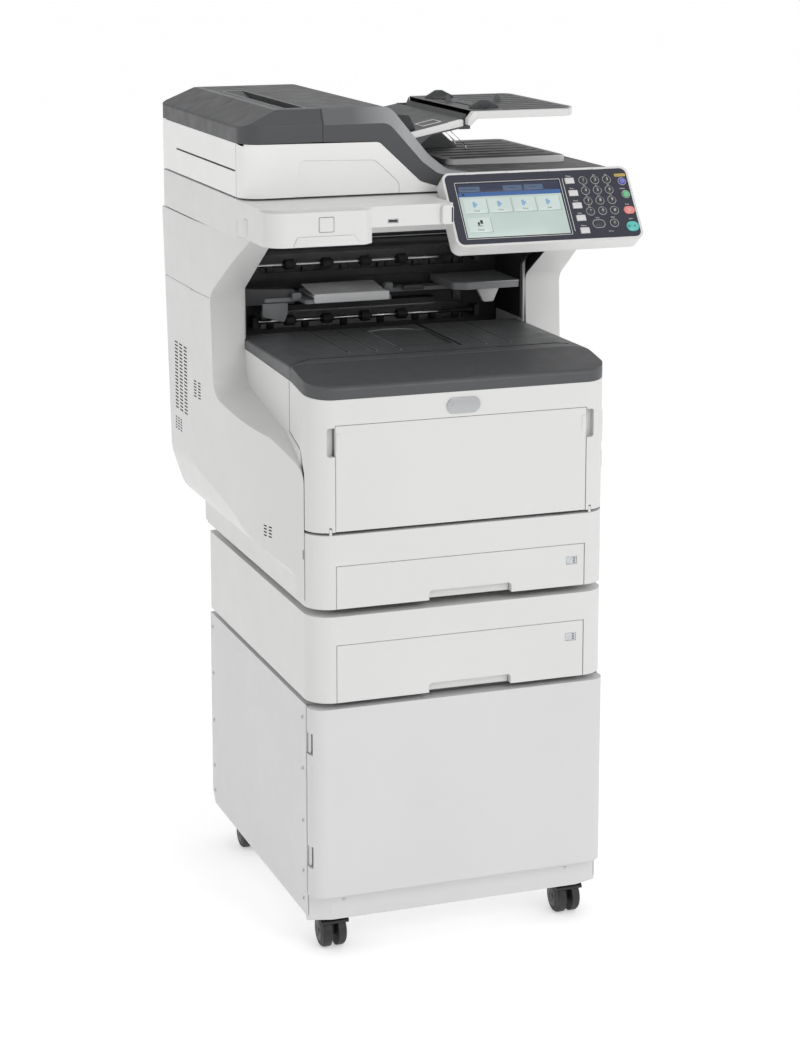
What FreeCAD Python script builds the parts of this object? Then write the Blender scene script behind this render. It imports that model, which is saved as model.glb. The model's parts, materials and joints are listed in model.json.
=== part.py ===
import FreeCAD, Part
import math
import os

# Floor-standing office copier on castors: cabinet, second paper feeder, printer,
# scanner with tilting operator panel, and document feeder.
# X runs left to right from the centre line, Y runs from the front face to the rear,
# Z is up from the floor.  save() moves the finished pieces so that the origin is the
# centre of the footprint on the floor.

V = FreeCAD.Vector
os.makedirs("parts", exist_ok=True)

# ---- driving dimensions, mm -------------------------------------------------------
BODY_WIDTH = 449.0        # cabinet, feeder and printer
HEAD_WIDTH = 563.0        # scanner and document feeder
BODY_DEPTH = 522.0        # cabinet and feeder
HEAD_DEPTH = 563.0        # deepest point, at the scanner
FRONT_CORNER = 36.0       # radius of the tall front corners
SHEET = 2.0               # sheet steel
WALL = 3.0                # moulded plastic
GAP = 0.75                # seam between neighbouring covers
RUN = 0.05                # radial running clearance of a shaft in its bore

BASE_Z = 57.0             # underside of the cabinet floor
CABINET_TOP = 372.0
FEEDER_Z = (380.0, 505.0)
PRINTER_Z = (516.0, 622.0)
COVER_Z = (626.0, 848.0)  # hinged front cover up to the output tray
BAY_FLOOR = 800.0
SCANNER_Z = (1020.0, 1076.0)
FEEDER_DECK = 1100.0      # document output surface
FEEDER_SHOULDER = 1154.0  # top of the white document feeder housing
FEEDER_TOP = 1200.0

HALF = BODY_WIDTH / 2.0
HEAD = HEAD_WIDTH / 2.0
DRAWER_HALF = 187.5       # half width of a drawer front
TRAY_HALF = 180.0         # half width of a paper tray
DRAWER_BACK = 470.0


# ---- shape helpers ----------------------------------------------------------------
def box(x, y, z):
    corner = V(x[0], y[0], z[0])
    return Part.makeBox(x[1] - x[0], y[1] - y[0], z[1] - z[0], corner)


def mirror(shape):
    return shape.mirror(V(0, 0, 0), V(1, 0, 0))


def cut(shape, *tools):
    for tool in tools:
        shape = shape.cut(tool)
    return shape


def join(first, *others):
    return first.multiFuse(list(others)).removeSplitter()


def common(first, *others):
    for other in others:
        first = first.common(other)
    return first


def closed_wire(corners, place):
    """Wire through (u, v, radius) corners; a radius above zero rounds its corner."""
    count = len(corners)
    flat = [V(c[0], c[1], 0) for c in corners]
    starts = []
    ends = []
    middles = []
    for i, corner in enumerate(corners):
        radius = corner[2] if len(corner) > 2 else 0.0
        here = flat[i]
        back = (flat[i - 1] - here).normalize()
        ahead = (flat[(i + 1) % count] - here).normalize()
        if radius <= 0.0:
            starts.append(here)
            ends.append(here)
            middles.append(None)
            continue
        half_angle = back.getAngle(ahead) / 2.0
        setback = radius / math.tan(half_angle)
        bisector = (back + ahead).normalize()
        centre = here + bisector * (radius / math.sin(half_angle))
        starts.append(here + back * setback)
        ends.append(here + ahead * setback)
        middles.append(centre - bisector * radius)
    edges = []
    for i in range(count):
        if middles[i] is not None:
            arc = Part.Arc(place(starts[i]), place(middles[i]), place(ends[i]))
            edges.append(arc.toShape())
        after = starts[(i + 1) % count]
        if (after - ends[i]).Length > 0.001:
            edges.append(Part.makeLine(place(ends[i]), place(after)))
    return Part.Wire(edges)


def slab_x(corners, x):
    """Extrude an outline of (y, z, radius) corners along X."""
    wire = closed_wire(corners, lambda p: V(x[0], p.x, p.y))
    return Part.Face(wire).extrude(V(x[1] - x[0], 0, 0))


def slab_y(corners, y):
    """Extrude an outline of (x, z, radius) corners along Y."""
    wire = closed_wire(corners, lambda p: V(p.x, y[0], p.y))
    return Part.Face(wire).extrude(V(0, y[1] - y[0], 0))


def slab_z(corners, z):
    """Extrude an outline of (x, y, radius) corners along Z."""
    wire = closed_wire(corners, lambda p: V(p.x, p.y, z[0]))
    return Part.Face(wire).extrude(V(0, 0, z[1] - z[0]))


def rod_x(x, y, z, radius):
    return Part.makeCylinder(radius, x[1] - x[0], V(x[0], y, z), V(1, 0, 0))


def rod_y(x, y, z, radius):
    return Part.makeCylinder(radius, y[1] - y[0], V(x, y[0], z), V(0, 1, 0))


def rod_z(x, y, z, radius):
    return Part.makeCylinder(radius, z[1] - z[0], V(x, y, z[0]), V(0, 0, 1))


def plan_block(half_width, y, z, front_radius, rear_radius):
    """Upright block, symmetric in X, with rounded vertical corners."""
    corners = [
        (-half_width, y[0], front_radius),
        (half_width, y[0], front_radius),
        (half_width, y[1], rear_radius),
        (-half_width, y[1], rear_radius),
    ]
    return slab_z(corners, z)


def rounded_rectangle(x, y, radius):
    return [(x[0], y[0], radius), (x[1], y[0], radius), (x[1], y[1], radius), (x[0], y[1], radius)]


def save(name, shape):
    placed = shape.copy()
    placed.translate(V(0, -HEAD_DEPTH / 2.0, 0))
    placed.exportStep("parts/" + name + ".step")


# ---- castors ----------------------------------------------------------------------
WHEEL_RADIUS = 24.0
WHEEL_THICK = 13.0
WHEEL_OFFSET = 18.0       # axle behind the swivel axis
WEB_HALF = 4.0
STEM_RADIUS = 5.0
AXLE_RADIUS = 3.0
CASTOR_X = 183.0
CASTOR_Y = {"front": 66.0, "rear": 470.0}


def castor_fork(x, y):
    axle_y = y - WHEEL_OFFSET
    plate = rod_z(x, y, (53.0, BASE_Z - 0.3), 15.0)
    stem = rod_z(x, y, (BASE_Z - 1.0, 70.0), STEM_RADIUS)
    web = slab_x(
        [(axle_y - 8, WHEEL_RADIUS - 8, 6), (axle_y + 8, WHEEL_RADIUS - 8, 6), (y + 14, 54),
         (axle_y - 8, 54)],
        (x - WEB_HALF, x + WEB_HALF),
    )
    hood = rod_x((x - 21, x + 21), axle_y, WHEEL_RADIUS, WHEEL_RADIUS + 3.6)
    hood = hood.cut(rod_x((x - 22, x + 22), axle_y, WHEEL_RADIUS, WHEEL_RADIUS + 1.4))
    hood = hood.common(box((x - 22, x + 22), (axle_y - 20, axle_y + 30), (WHEEL_RADIUS + 12, 54)))
    fork = join(web, hood, plate, stem)
    return cut(fork, rod_x((x - 30, x + 30), axle_y, WHEEL_RADIUS, AXLE_RADIUS + RUN))


def castor_wheels(x, y):
    axle_y = y - WHEEL_OFFSET
    axle = rod_x((x - 12, x + 12), axle_y, WHEEL_RADIUS, AXLE_RADIUS)
    wheels = []
    for side in (-1, 1):
        inner = x + side * (WEB_HALF + 1.0)
        outer = inner + side * WHEEL_THICK
        wheel = rod_x((min(inner, outer), max(inner, outer)), axle_y, WHEEL_RADIUS, WHEEL_RADIUS)
        rim = [e for e in wheel.Edges if abs(e.BoundBox.XMin - outer) < 0.01 and e.BoundBox.XLength < 0.01]
        wheels.append(wheel.makeFillet(5.0, rim))
    return join(axle, *wheels)


for row, castor_y in CASTOR_Y.items():
    for side, castor_x in (("left", -CASTOR_X), ("right", CASTOR_X)):
        save("castor_fork_" + row + "_" + side, castor_fork(castor_x, castor_y))
        save("castor_wheels_" + row + "_" + side, castor_wheels(castor_x, castor_y))

# ---- cabinet ----------------------------------------------------------------------
PANEL_Z = (BASE_Z, CABINET_TOP)
PANEL_Y = (30.0, BODY_DEPTH)
INSIDE = HALF - SHEET

base = join(
    box((-INSIDE, INSIDE), (32.0, 518.0), (BASE_Z, BASE_Z + SHEET)),
    box((-INSIDE, INSIDE), (32.0, 32.0 + SHEET), (BASE_Z, 90.0)),
    box((-INSIDE, INSIDE), (516.0, 518.0), (BASE_Z, CABINET_TOP - SHEET - 0.2)),
)
for castor_y in CASTOR_Y.values():
    for castor_x in (-CASTOR_X, CASTOR_X):
        boss = rod_z(castor_x, castor_y, (BASE_Z + SHEET, 72.0), 12.0)
        base = join(base, boss)
        base = cut(base, rod_z(castor_x, castor_y, (BASE_Z - 1.0, 70.3), STEM_RADIUS + RUN))
save("cabinet_base_and_back", base)

side_outline = [
    (PANEL_Y[0], PANEL_Z[0]),
    (PANEL_Y[1] - 14.0, PANEL_Z[0], 4.0),
    (PANEL_Y[1], PANEL_Z[0] + 18.0, 4.0),
    (PANEL_Y[1], PANEL_Z[1]),
    (PANEL_Y[0], PANEL_Z[1]),
]
side_panel = slab_x(side_outline, (-HALF, -INSIDE))
front_flange = box((-INSIDE - 0.5, -INSIDE + 14.0), (36.0, 38.0), (92.0, PANEL_Z[1]))
side_panel = join(side_panel, front_flange)
save("cabinet_left_side", side_panel)
save("cabinet_right_side", mirror(side_panel))

cabinet_top = box((-INSIDE, INSIDE), (38.2, BODY_DEPTH), (CABINET_TOP - SHEET, CABINET_TOP))
top_lip = box((-INSIDE + 14.2, INSIDE - 14.2), (36.2, 38.2), (350.0, CABINET_TOP))
save("cabinet_top", join(cabinet_top, top_lip))

PLINTH_Z = (50.0, 90.0)
plinth_outer = [(-HALF, 34.0), (-HALF, 30.5, 2.0), (-190.0, 20.0, 8.0), (190.0, 20.0, 8.0),
                (HALF, 30.5, 2.0),
                (HALF, 34.0)]
plinth_solid = slab_z(plinth_outer, PLINTH_Z)
plinth_inner = [(-INSIDE, 40.0), (-INSIDE, 32.0), (-190.0, 22.0), (190.0, 22.0), (INSIDE, 32.0),
                (INSIDE, 40.0)]
save("cabinet_plinth", plinth_solid.cut(slab_z(plinth_inner, (0.0, 400.0))).cut(
    box((-HALF - 1, HALF + 1), (29.8, 40.0), (BASE_Z - 0.2, 100.0))))

# door: a shallow moulded shell with a solid hinge stile at the left
DOOR_Z = (92.0, 371.0)
DOOR_BACK = 29.0
DOOR_HINGE = (-219.0, 23.4)
HINGE_HEIGHTS = (135.0, 303.0)
HINGE_SPAN = 32.0
PIN_RADIUS = 2.5
door = slab_z(
    [(-HALF, 0.0, FRONT_CORNER - 14), (HALF, 0.0, FRONT_CORNER - 14), (HALF, DOOR_BACK, 2.0),
     (-HALF, DOOR_BACK, 5.4)],
    DOOR_Z,
)
pocket = box((-200.0, 205.0), (4.0, DOOR_BACK + 1), (DOOR_Z[0] + 12, DOOR_Z[1] - 12))
door = door.cut(pocket)
for height in HINGE_HEIGHTS:
    notch = box((-HALF - 1, DOOR_HINGE[0] + 11), (10.0, DOOR_BACK + 1), (height, height + HINGE_SPAN))
    bore = rod_z(DOOR_HINGE[0], DOOR_HINGE[1], (height - 8.3, height + HINGE_SPAN + 8.3),
                 PIN_RADIUS + RUN)
    door = cut(door, notch, bore)
save("cabinet_door", door)

hinge_parts = []
for height in HINGE_HEIGHTS:
    pin = rod_z(DOOR_HINGE[0], DOOR_HINGE[1], (height - 8.0, height + HINGE_SPAN + 8.0), PIN_RADIUS)
    knuckle = rod_z(DOOR_HINGE[0], DOOR_HINGE[1], (height + 1.0, height + HINGE_SPAN - 1.0), 3.4)
    leaf = box((-INSIDE, -INSIDE + 3.0), (DOOR_HINGE[1], 35.8), (height + 1.0, height + HINGE_SPAN - 1.0))
    hinge_parts.append(join(pin, knuckle, leaf))
save("cabinet_door_hinges", Part.makeCompound(hinge_parts))


# ---- paper drawers, shared by the feeder and the printer --------------------------
def drawer_front(z):
    """Drawer front with a finger cut-out in its lower edge and a label recess."""
    panel = plan_block(DRAWER_HALF, (0.0, 12.0), z, 1.5, 0.0)
    handle = slab_y([(-50.0, z[0] - 5), (75.0, z[0] - 5), (75.0, z[0] + 14, 5), (-50.0, z[0] + 14, 5)],
                    (-1.0, 13.0))
    label = box((159.0, 176.0), (-1.0, 1.5), (z[1] - 29, z[1] - 17))
    grip = slab_x([(12.0, z[0] + 16), (12.0, z[0] + 22), (26.0, z[0] + 22), (26.0, z[0] + 3),
                   (23.0, z[0] + 3),
                   (23.0, z[0] + 18), (16.0, z[0] + 16)], (-54.0, 79.0))
    return join(cut(panel, handle, label), grip)


def drawer_tray(z):
    """Open paper tray that carries the front."""
    outer = box((-TRAY_HALF, TRAY_HALF), (27.0, DRAWER_BACK), (z[0] + 5, z[0] + 58))
    inner = box((-TRAY_HALF + WALL, TRAY_HALF - WALL), (27.0 + WALL, DRAWER_BACK - WALL),
                (z[0] + 8, z[0] + 70))
    arms = [box((s * 130.0 - 8, s * 130.0 + 8), (12.0, 28.0), (z[0] + 25, z[0] + 50)) for s in (-1, 1)]
    return join(outer.cut(inner), *arms)


def lift_plate(z):
    """Sheet that raises the front edge of the paper; it pivots at the rear."""
    plate = box((-150.0, 150.0), (60.0, 398.0), (z[0] + 10, z[0] + 11.5))
    barrel = rod_x((-150.0, 150.0), 400.0, z[0] + 12.5, 3.0)
    return join(plate, barrel)


def pickup_roller(z):
    shaft = rod_x((-217.0, 217.0), 74.0, z[0] + 74, 4.0)
    tyres = [rod_x((x - 14.0, x + 14.0), 74.0, z[0] + 74, 9.0) for x in (-45.0, 45.0)]
    return join(shaft, *tyres)


def save_drawer(prefix, z):
    front_z = (z[0], z[0] + 61.0) if z is PRINTER_Z else (z[0], z[0] + 83.0)
    save(prefix + "drawer_front", drawer_front(front_z))
    save(prefix + "drawer_tray", drawer_tray(z))
    save(prefix + "lift_plate", lift_plate(z))
    save(prefix + "pickup_roller", pickup_roller(z))


def drawer_case(z, depth, front_top, corner):
    """Case around a drawer: open at the front, with corner posts and a fixed strip above."""
    case = plan_block(HALF, (0.0, depth), z, corner, 6.0)
    mouth = box((-DRAWER_HALF - GAP, DRAWER_HALF + GAP), (-1.0, 40.0), (z[0] - 1, front_top + GAP))
    hall = box((-HALF + WALL, HALF - WALL), (36.0, depth - WALL), (z[0] + 4, z[1] - WALL))
    above = box((-DRAWER_HALF, DRAWER_HALF), (WALL, 37.0), (front_top + 4, z[1] - WALL))
    floor = box((-DRAWER_HALF, DRAWER_HALF), (28.0, 40.0), (z[0], z[0] + 4))
    case = join(cut(case, mouth, hall, above), floor)
    blocks = []
    for side in (-1, 1):
        outer = side * (HALF - 2.0)
        inner = side * 209.0
        blocks.append(box((min(outer, inner), max(outer, inner)), (66.0, 82.0), (z[0] + 66, z[0] + 82)))
    case = join(case, *blocks)
    return case.cut(rod_x((-218.0, 218.0), 74.0, z[0] + 74, 4.0 + RUN))


def pads(z_low, z_high):
    return [box((s * 190.0 - 15, s * 190.0 + 15), (y, y + 30), (z_low, z_high)) for s in (-1, 1)
            for y in (60.0, 450.0)]


feeder = drawer_case(FEEDER_Z, BODY_DEPTH, 463.0, FRONT_CORNER)
save("feeder_housing", join(feeder, *pads(CABINET_TOP, FEEDER_Z[0] + 1)))
save_drawer("feeder_", FEEDER_Z)

# ---- printer chassis --------------------------------------------------------------
CHASSIS_DEPTH = 536.0
SIDE_TOP = [(93.5, 826.5), (317.0, 834.0)]
chassis = drawer_case(PRINTER_Z, CHASSIS_DEPTH, 577.0, FRONT_CORNER)
inner_side = slab_x(
    [(45.0, 620.0), (45.0, 735.0), (96.0, 752.0), (96.0, 826.0), (317.0, 833.0), (317.0, 1016.0),
     (CHASSIS_DEPTH, 1016.0),
     (CHASSIS_DEPTH, 620.0)],
    (-HALF, -HALF + WALL),
)
rear_frame = box((-HALF, HALF), (CHASSIS_DEPTH - WALL, CHASSIS_DEPTH), (620.0, 1016.0))
COVER_HINGE = (3.0, 629.0)
SCANNER_HINGE = (553.0, 1025.0)
cover_lug = join(
    box((193.5, 197.0), (1.2, 5.2), (621.0, COVER_HINGE[1])),
    rod_x((193.5, 197.0), *COVER_HINGE, 2.2),
    rod_x((192.3, 198.0), *COVER_HINGE, 1.4),
)
scanner_bracket = slab_x(
    [(534.0, 985.0), (556.4, 985.0), (556.4, SCANNER_HINGE[1]), (549.6, SCANNER_HINGE[1]),
     (549.6, 1010.0), (534.0, 998.0)],
    (186.0, 194.0),
)
scanner_bracket = join(scanner_bracket, rod_x((186.0, 194.0), *SCANNER_HINGE, 3.4),
                       rod_x((180.0, 200.0), *SCANNER_HINGE, 2.0))
chassis = join(chassis, inner_side, mirror(inner_side), rear_frame, *pads(FEEDER_Z[1], PRINTER_Z[0] + 1))
for hinge_part in (cover_lug, scanner_bracket):
    chassis = join(chassis, hinge_part, mirror(hinge_part))
save("printer_chassis", chassis)
save_drawer("printer_", PRINTER_Z)

# ---- front cover with the multi-purpose tray --------------------------------------
MP_HALF = 188.0
MP_Z = (627.0, 776.5)
cover_outline = [
    (0.0, COVER_Z[0], 2.0), (30.0, COVER_Z[0], 2.0), (30.0, 706.0, 22.0), (44.0, 738.0, 20.0),
    (92.7, 754.0),
    (92.7, 826.3), (0.0, 813.0),
]
front_shape = slab_x(cover_outline, (-HALF, HALF))
front_plan = plan_block(HALF, (0.0, 200.0), (600.0, 900.0), FRONT_CORNER, 0.0)
cover = common(front_shape, front_plan)
cover_inner = slab_x(
    [(4.0, 660.0), (60.0, 660.0), (110.0, 745.0), (110.0, 840.0), (4.0, 840.0)],
    (-HALF + WALL, HALF - WALL),
)
cover_core = plan_block(HALF - WALL, (4.0, 200.0), (600.0, 900.0), FRONT_CORNER - 3, 0.0)
cover = cover.cut(common(cover_inner, cover_core))
mp_opening = box((-MP_HALF - GAP, MP_HALF + GAP), (-1.0, 13.5), (600.0, MP_Z[1] + GAP))
cover = cover.cut(mp_opening)
back_plate = box((-HALF + 20, HALF - 20), (16.0, 18.0), (640.0, 790.0))
paper_slot = box((-160.0, 160.0), (10.0, 40.0), (655.0, 690.0))
cover = join(cover, back_plate, box((-HALF + 2, -MP_HALF - GAP), (3.0, 18.0), (640.0, 790.0)),
             box((MP_HALF + GAP, HALF - 2), (3.0, 18.0), (640.0, 790.0)))
cover = common(cover, front_plan).cut(paper_slot)
for side in (-1, 1):
    inner = side * (MP_HALF - 2)
    outer = side * (MP_HALF + 12)
    x_range = (min(inner, outer), max(inner, outer))
    pocket = slab_y([(x_range[0], 733.0, 4), (x_range[1], 733.0, 4), (x_range[1], 774.0, 4),
                     (x_range[0], 774.0, 4)],
                    (-1.0, 12.0))
    cover = cover.cut(pocket)
MP_HINGE = (3.5, 630.5)
lug_room = rod_x((193.2, 197.3), *COVER_HINGE, 4.6)
lug_bore = rod_x((192.0, 198.3), *COVER_HINGE, 1.4 + RUN)
mp_bore = rod_x((188.0, 191.8), *MP_HINGE, 1.4 + RUN)
for tool in (lug_room, lug_bore, mp_bore):
    cover = cut(cover, tool, mirror(tool))
save("front_cover", cover)

# dark bullnose on top of the front cover
lid_profile = [(0.0, 813.3), (0.0, 831.0, 7.0), (95.0, 848.6), (95.0, 827.0)]
lid = common(slab_x(lid_profile, (-HALF, HALF)),
             plan_block(HALF, (0.0, 92.7), (700.0, 900.0), FRONT_CORNER, 0.0))
# rounded shoulders, shared by the lid and the output tray behind it
tray_section = [(-HALF, 790.0), (-HALF, 846.0, 3.0), (-184.0, 850.0), (184.0, 850.0), (HALF, 846.0, 3.0),
                (HALF, 790.0)]
lid = common(lid, slab_y(tray_section, (-5.0, 100.0)))
lid_under = common(
    slab_x([(WALL, 800.0), (WALL, 826.0), (100.0, 845.0), (100.0, 800.0)], (-HALF + WALL, HALF - WALL)),
    plan_block(HALF - WALL, (WALL, 120.0), (700.0, 900.0), FRONT_CORNER - 3, 0.0),
)
save("front_cover_lid", lid.cut(lid_under))

mp_door = plan_block(MP_HALF, (0.0, 6.5), MP_Z, 1.5, 0.0)
mp_rails = [box((s * 150.0 - 4, s * 150.0 + 4), (6.0, 12.0), (640.0, 765.0)) for s in (-1, 1)]
mp_pin = rod_x((187.0, 191.5), *MP_HINGE, 1.4)
save("mp_tray_door", join(mp_door, *mp_rails, mp_pin, mirror(mp_pin)))
save("mp_tray_extension", box((-144.0, 144.0), (7.5, 10.0), (655.0, 745.0)))

# ---- output tray, which is the printer's top cover --------------------------------
TRAY_BACK = 424.0
tray_profile = [(93.5, 827.3), (93.5, 848.3), (345.0, 848.3, 60.0), (TRAY_BACK, 812.0),
                (TRAY_BACK, 804.0),
                (317.0, 834.6)]
tray = common(slab_x(tray_profile, (-HALF, HALF)), slab_y(tray_section, (90.0, 430.0)))
tray = tray.cut(box((-HALF - 1, -HALF + 3.3), (316.0, 430.0), (780.0, 900.0)))
tray = tray.cut(box((HALF - 3.3, HALF + 1), (316.0, 430.0), (780.0, 900.0)))
tray = tray.cut(slab_x([(97.0, 800.0), (97.0, 844.5), (340.0, 844.5), (415.0, 809.0), (415.0, 800.0)],
                       (-HALF + WALL, HALF - WALL)))
for groove_x in (-117.0, -75.0, -38.0, 94.0, 133.0):
    tray = tray.cut(box((groove_x - 1.6, groove_x + 1.6), (152.0, 352.0), (847.0, 850.0)))
tray = tray.cut(box((53.0, 61.0), (152.0, 352.0), (846.6, 850.0)))
finger = rod_z(0.0, 252.0, (846.8, 850.0), 62.0).common(box((-63.0, 63.0), (252.0, 320.0),
                                                            (840.0, 852.0)))
finger = join(finger, box((-62.0, 62.0), (175.0, 252.1), (846.8, 850.0)))
finger = finger.common(box((-36.0, 51.0), (150.0, 320.0), (840.0, 852.0)))
save("output_tray", tray.cut(finger))

# ---- output bay: rear wall with two paper slots, and dark side linings ------------
BAY_WALL_Y = 426.0
EXIT_SHAFT_Y = 412.0
EXIT_HEIGHTS = {"lower": 853.0, "upper": 939.0}
EXIT_SPAN = 178.0
bay_wall = box((-HALF + WALL, HALF - WALL), (BAY_WALL_Y, BAY_WALL_Y + 4), (BAY_FLOOR, 1016.0))
for height in EXIT_HEIGHTS.values():
    bay_wall = bay_wall.cut(box((-165.0, 165.0), (400.0, 440.0), (height - 14, height + 14)))
bay_parts = []
for side in (-1, 1):
    inner = side * (HALF - WALL - 3)
    outer = side * (HALF - WALL)
    lining = slab_x([(322.0, 852.0), (BAY_WALL_Y + 4, 852.0), (BAY_WALL_Y + 4, 1016.0), (200.0, 1016.0),
                     (322.0, 935.0)],
                    (min(inner, outer), max(inner, outer)))
    bay_parts.append(lining)
    for height in EXIT_HEIGHTS.values():
        lug = box((side * 180.0 - 4, side * 180.0 + 4), (EXIT_SHAFT_Y - 8, BAY_WALL_Y + 1),
                  (height - 8, height + 8))
        bay_parts.append(lug)
bay_parts.append(box((-150.0, 110.0), (404.0, BAY_WALL_Y + 1), (869.0, 878.0)))
bay_wall = join(bay_wall, *bay_parts)
for height in EXIT_HEIGHTS.values():
    bay_wall = bay_wall.cut(rod_x((-190.0, 190.0), EXIT_SHAFT_Y, height, 3.0 + RUN))
save("bay_wall", bay_wall)

for name, height in EXIT_HEIGHTS.items():
    shaft = rod_x((-EXIT_SPAN, EXIT_SPAN), EXIT_SHAFT_Y, height, 3.0)
    tyres = [rod_x((x - 7.0, x + 7.0), EXIT_SHAFT_Y, height, 8.0) for x in (-124.0, -64.0, -2.0, 57.0)]
    save("exit_rollers_" + name, join(shaft, *tyres))

shelf_back = box((-178.0, HALF - 7), (398.0, BAY_WALL_Y - 0.2), (890.0, 896.0))
shelf_left = slab_z([(-178.0, 400.0), (-178.0, 365.0, 4), (-124.0, 365.0), (-124.0, 332.0, 6),
                     (14.0, 332.0, 6),
                     (14.0, 400.0)], (890.0, 896.0))
shelf_right = slab_z([(110.0, 330.0, 10), (130.0, 318.0, 10), (HALF - 7, 322.0, 4), (HALF - 7, 424.0),
                      (110.0, 424.0)],
                     (900.0, 911.0))
shelf_web = box((114.0, HALF - 11), (410.0, 422.0), (893.0, 902.0))
save("bay_shelf", join(shelf_back, shelf_left, shelf_web, shelf_right))
FLAP_HINGE = (405.0, 899.5)
flap = slab_z([(-110.0, 402.0), (-110.0, 336.0, 8), (8.0, 336.0, 8), (8.0, 402.0)], (898.0, 901.0))
save("paper_stop_flap", join(flap, rod_x((-110.0, 8.0), FLAP_HINGE[0] - 1, FLAP_HINGE[1], 2.5)))


# ---- flared side covers with the scanner arms -------------------------------------
def side_profile(x, sweep, arm_front, inset):
    """Outline in Y and Z at one X; sweep is the height where the recess starts."""
    corners = [
        (30.0 + inset, 524.0 + inset),
        (30.0 + inset, sweep - 38.0 - inset, 34.0),
        (110.0 + inset, sweep + 2.0 - inset, 60.0),
        (arm_front - 10.0 + inset, sweep + 36.0 - inset, 34.0),
        (arm_front + inset, 918.0, 24.0),
        (arm_front - 160.0 + 2.4 * inset, 1018.0 - inset),
        (560.0 - inset, 1018.0 - inset),
        (526.0 - inset, 640.0, 30.0),
        (522.0 - inset, 524.0 + inset),
    ]
    return closed_wire(corners, lambda p: V(x, p.x, p.y))


def flare_plan(inset):
    """Horizontal outline: flush with the printer at the front, flared at the rear."""
    wide = HEAD - inset
    narrow = HALF - inset
    front = 30.0 + inset
    curve = Part.BSplineCurve()
    curve.interpolate([
        V(-narrow, front, 500), V(-narrow - 11, 70, 500), V(-narrow - 31, 135, 500),
        V(-narrow - 46, 220, 500),
        V(-narrow - 53, 310, 500), V(-wide, 400, 500),
    ])
    edges = [
        curve.toShape(),
        Part.makeLine(V(-wide, 400, 500), V(-wide, 562, 500)),
        Part.makeLine(V(-wide, 562, 500), V(-narrow + 0.4, 562, 500)),
        Part.makeLine(V(-narrow + 0.4, 562, 500), V(-narrow + 0.4, front, 500)),
        Part.makeLine(V(-narrow + 0.4, front, 500), V(-narrow, front, 500)),
    ]
    return Part.Face(Part.Wire(edges)).extrude(V(0, 0, 560))


def flare_section(inset):
    """Front view outline: the flare grows out of the bottom edge."""
    wide = HEAD - inset
    corners = [(-HALF + 2, 524.0), (-HALF - 5.5 + inset, 524.0), (-HALF - 5.5 + inset, 558.0, 14.0),
               (-HALF - 38 + inset, 582.0, 45.0), (-wide, 642.0, 60.0), (-wide, 1020.0),
               (-HALF + 2, 1020.0)]
    return slab_y(corners, (20.0, 570.0))


def side_solid(inset, x_inner):
    loft = Part.makeLoft(
        [side_profile(x_inner, 746.0, 317.0, inset),
         side_profile(-HEAD - 2.0, 732.0, 308.0, inset)], True, True)
    return common(loft, flare_plan(inset), flare_section(inset))


side_cover = side_solid(0.0, -HALF)
arm_seam = box((-HEAD - 1, -HEAD + 0.8), (250.0, 570.0), (912.0, 913.2))
side_hollow = side_solid(WALL, -HALF + 1.0)
side_cover = cut(side_cover, side_hollow, arm_seam)
save("left_side_cover", side_cover)
save("right_side_cover", mirror(side_cover))

rear = slab_x([(536.6, 526.0), (540.0, 526.0), (540.0, 640.0), (562.5, 1012.0, 6.0), (562.5, 1018.0),
               (559.0, 1018.0),
               (536.6, 644.0)], (-HALF + 1, HALF - 1))
save("rear_cover", rear)

# ---- parts of the print engine ----------------------------------------------------
STATION_PITCH = 78.0
stations = [150.0 + i * STATION_PITCH for i in range(4)]
engine_units = []
for y in stations:
    drum = rod_x((-160.0, 160.0), y, 708.0, 15.0)
    drum_case = slab_x([(y - 24, 716.0), (y + 30, 716.0), (y + 30, 742.0), (y - 24, 742.0)],
                       (-170.0, 170.0))
    drum_case = drum_case.cut(rod_x((-161.0, 161.0), y, 708.0, 15.4))
    toner = slab_x([(y - 22, 742.3), (y + 28, 742.3), (y + 28, 790.0, 18), (y - 22, 790.0, 18)],
                   (-165.0, 165.0))
    engine_units.extend([drum, drum_case, toner])
save("drum_and_toner_units", Part.makeCompound(engine_units))

belt_loop = slab_x([(120.0, 664.0, 14), (415.0, 664.0, 14), (415.0, 692.4, 14), (120.0, 692.4, 14)],
                   (-158.0, 158.0))
belt_frame = slab_x([(122.0, 666.0, 12), (413.0, 666.0, 12), (413.0, 690.4, 12), (122.0, 690.4, 12)],
                    (-158.0, 158.0))
belt_ends = [box((s * 165.0 - 5, s * 165.0 + 5), (125.0, 410.0), (660.0, 690.0)) for s in (-1, 1)]
save("transfer_belt_unit", join(belt_loop.cut(belt_frame),
                                box((-161.0, 161.0), (170.0, 370.0), (674.0, 682.0)),
                                *belt_ends))
fuser = slab_x([(440.0, 640.0, 8), (512.0, 640.0, 8), (512.0, 735.0, 18), (440.0, 735.0, 18)],
               (-175.0, 175.0))
save("fuser_unit", fuser.cut(rod_x((-160.0, 160.0), 476.0, 705.0, 20.0)))

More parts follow.
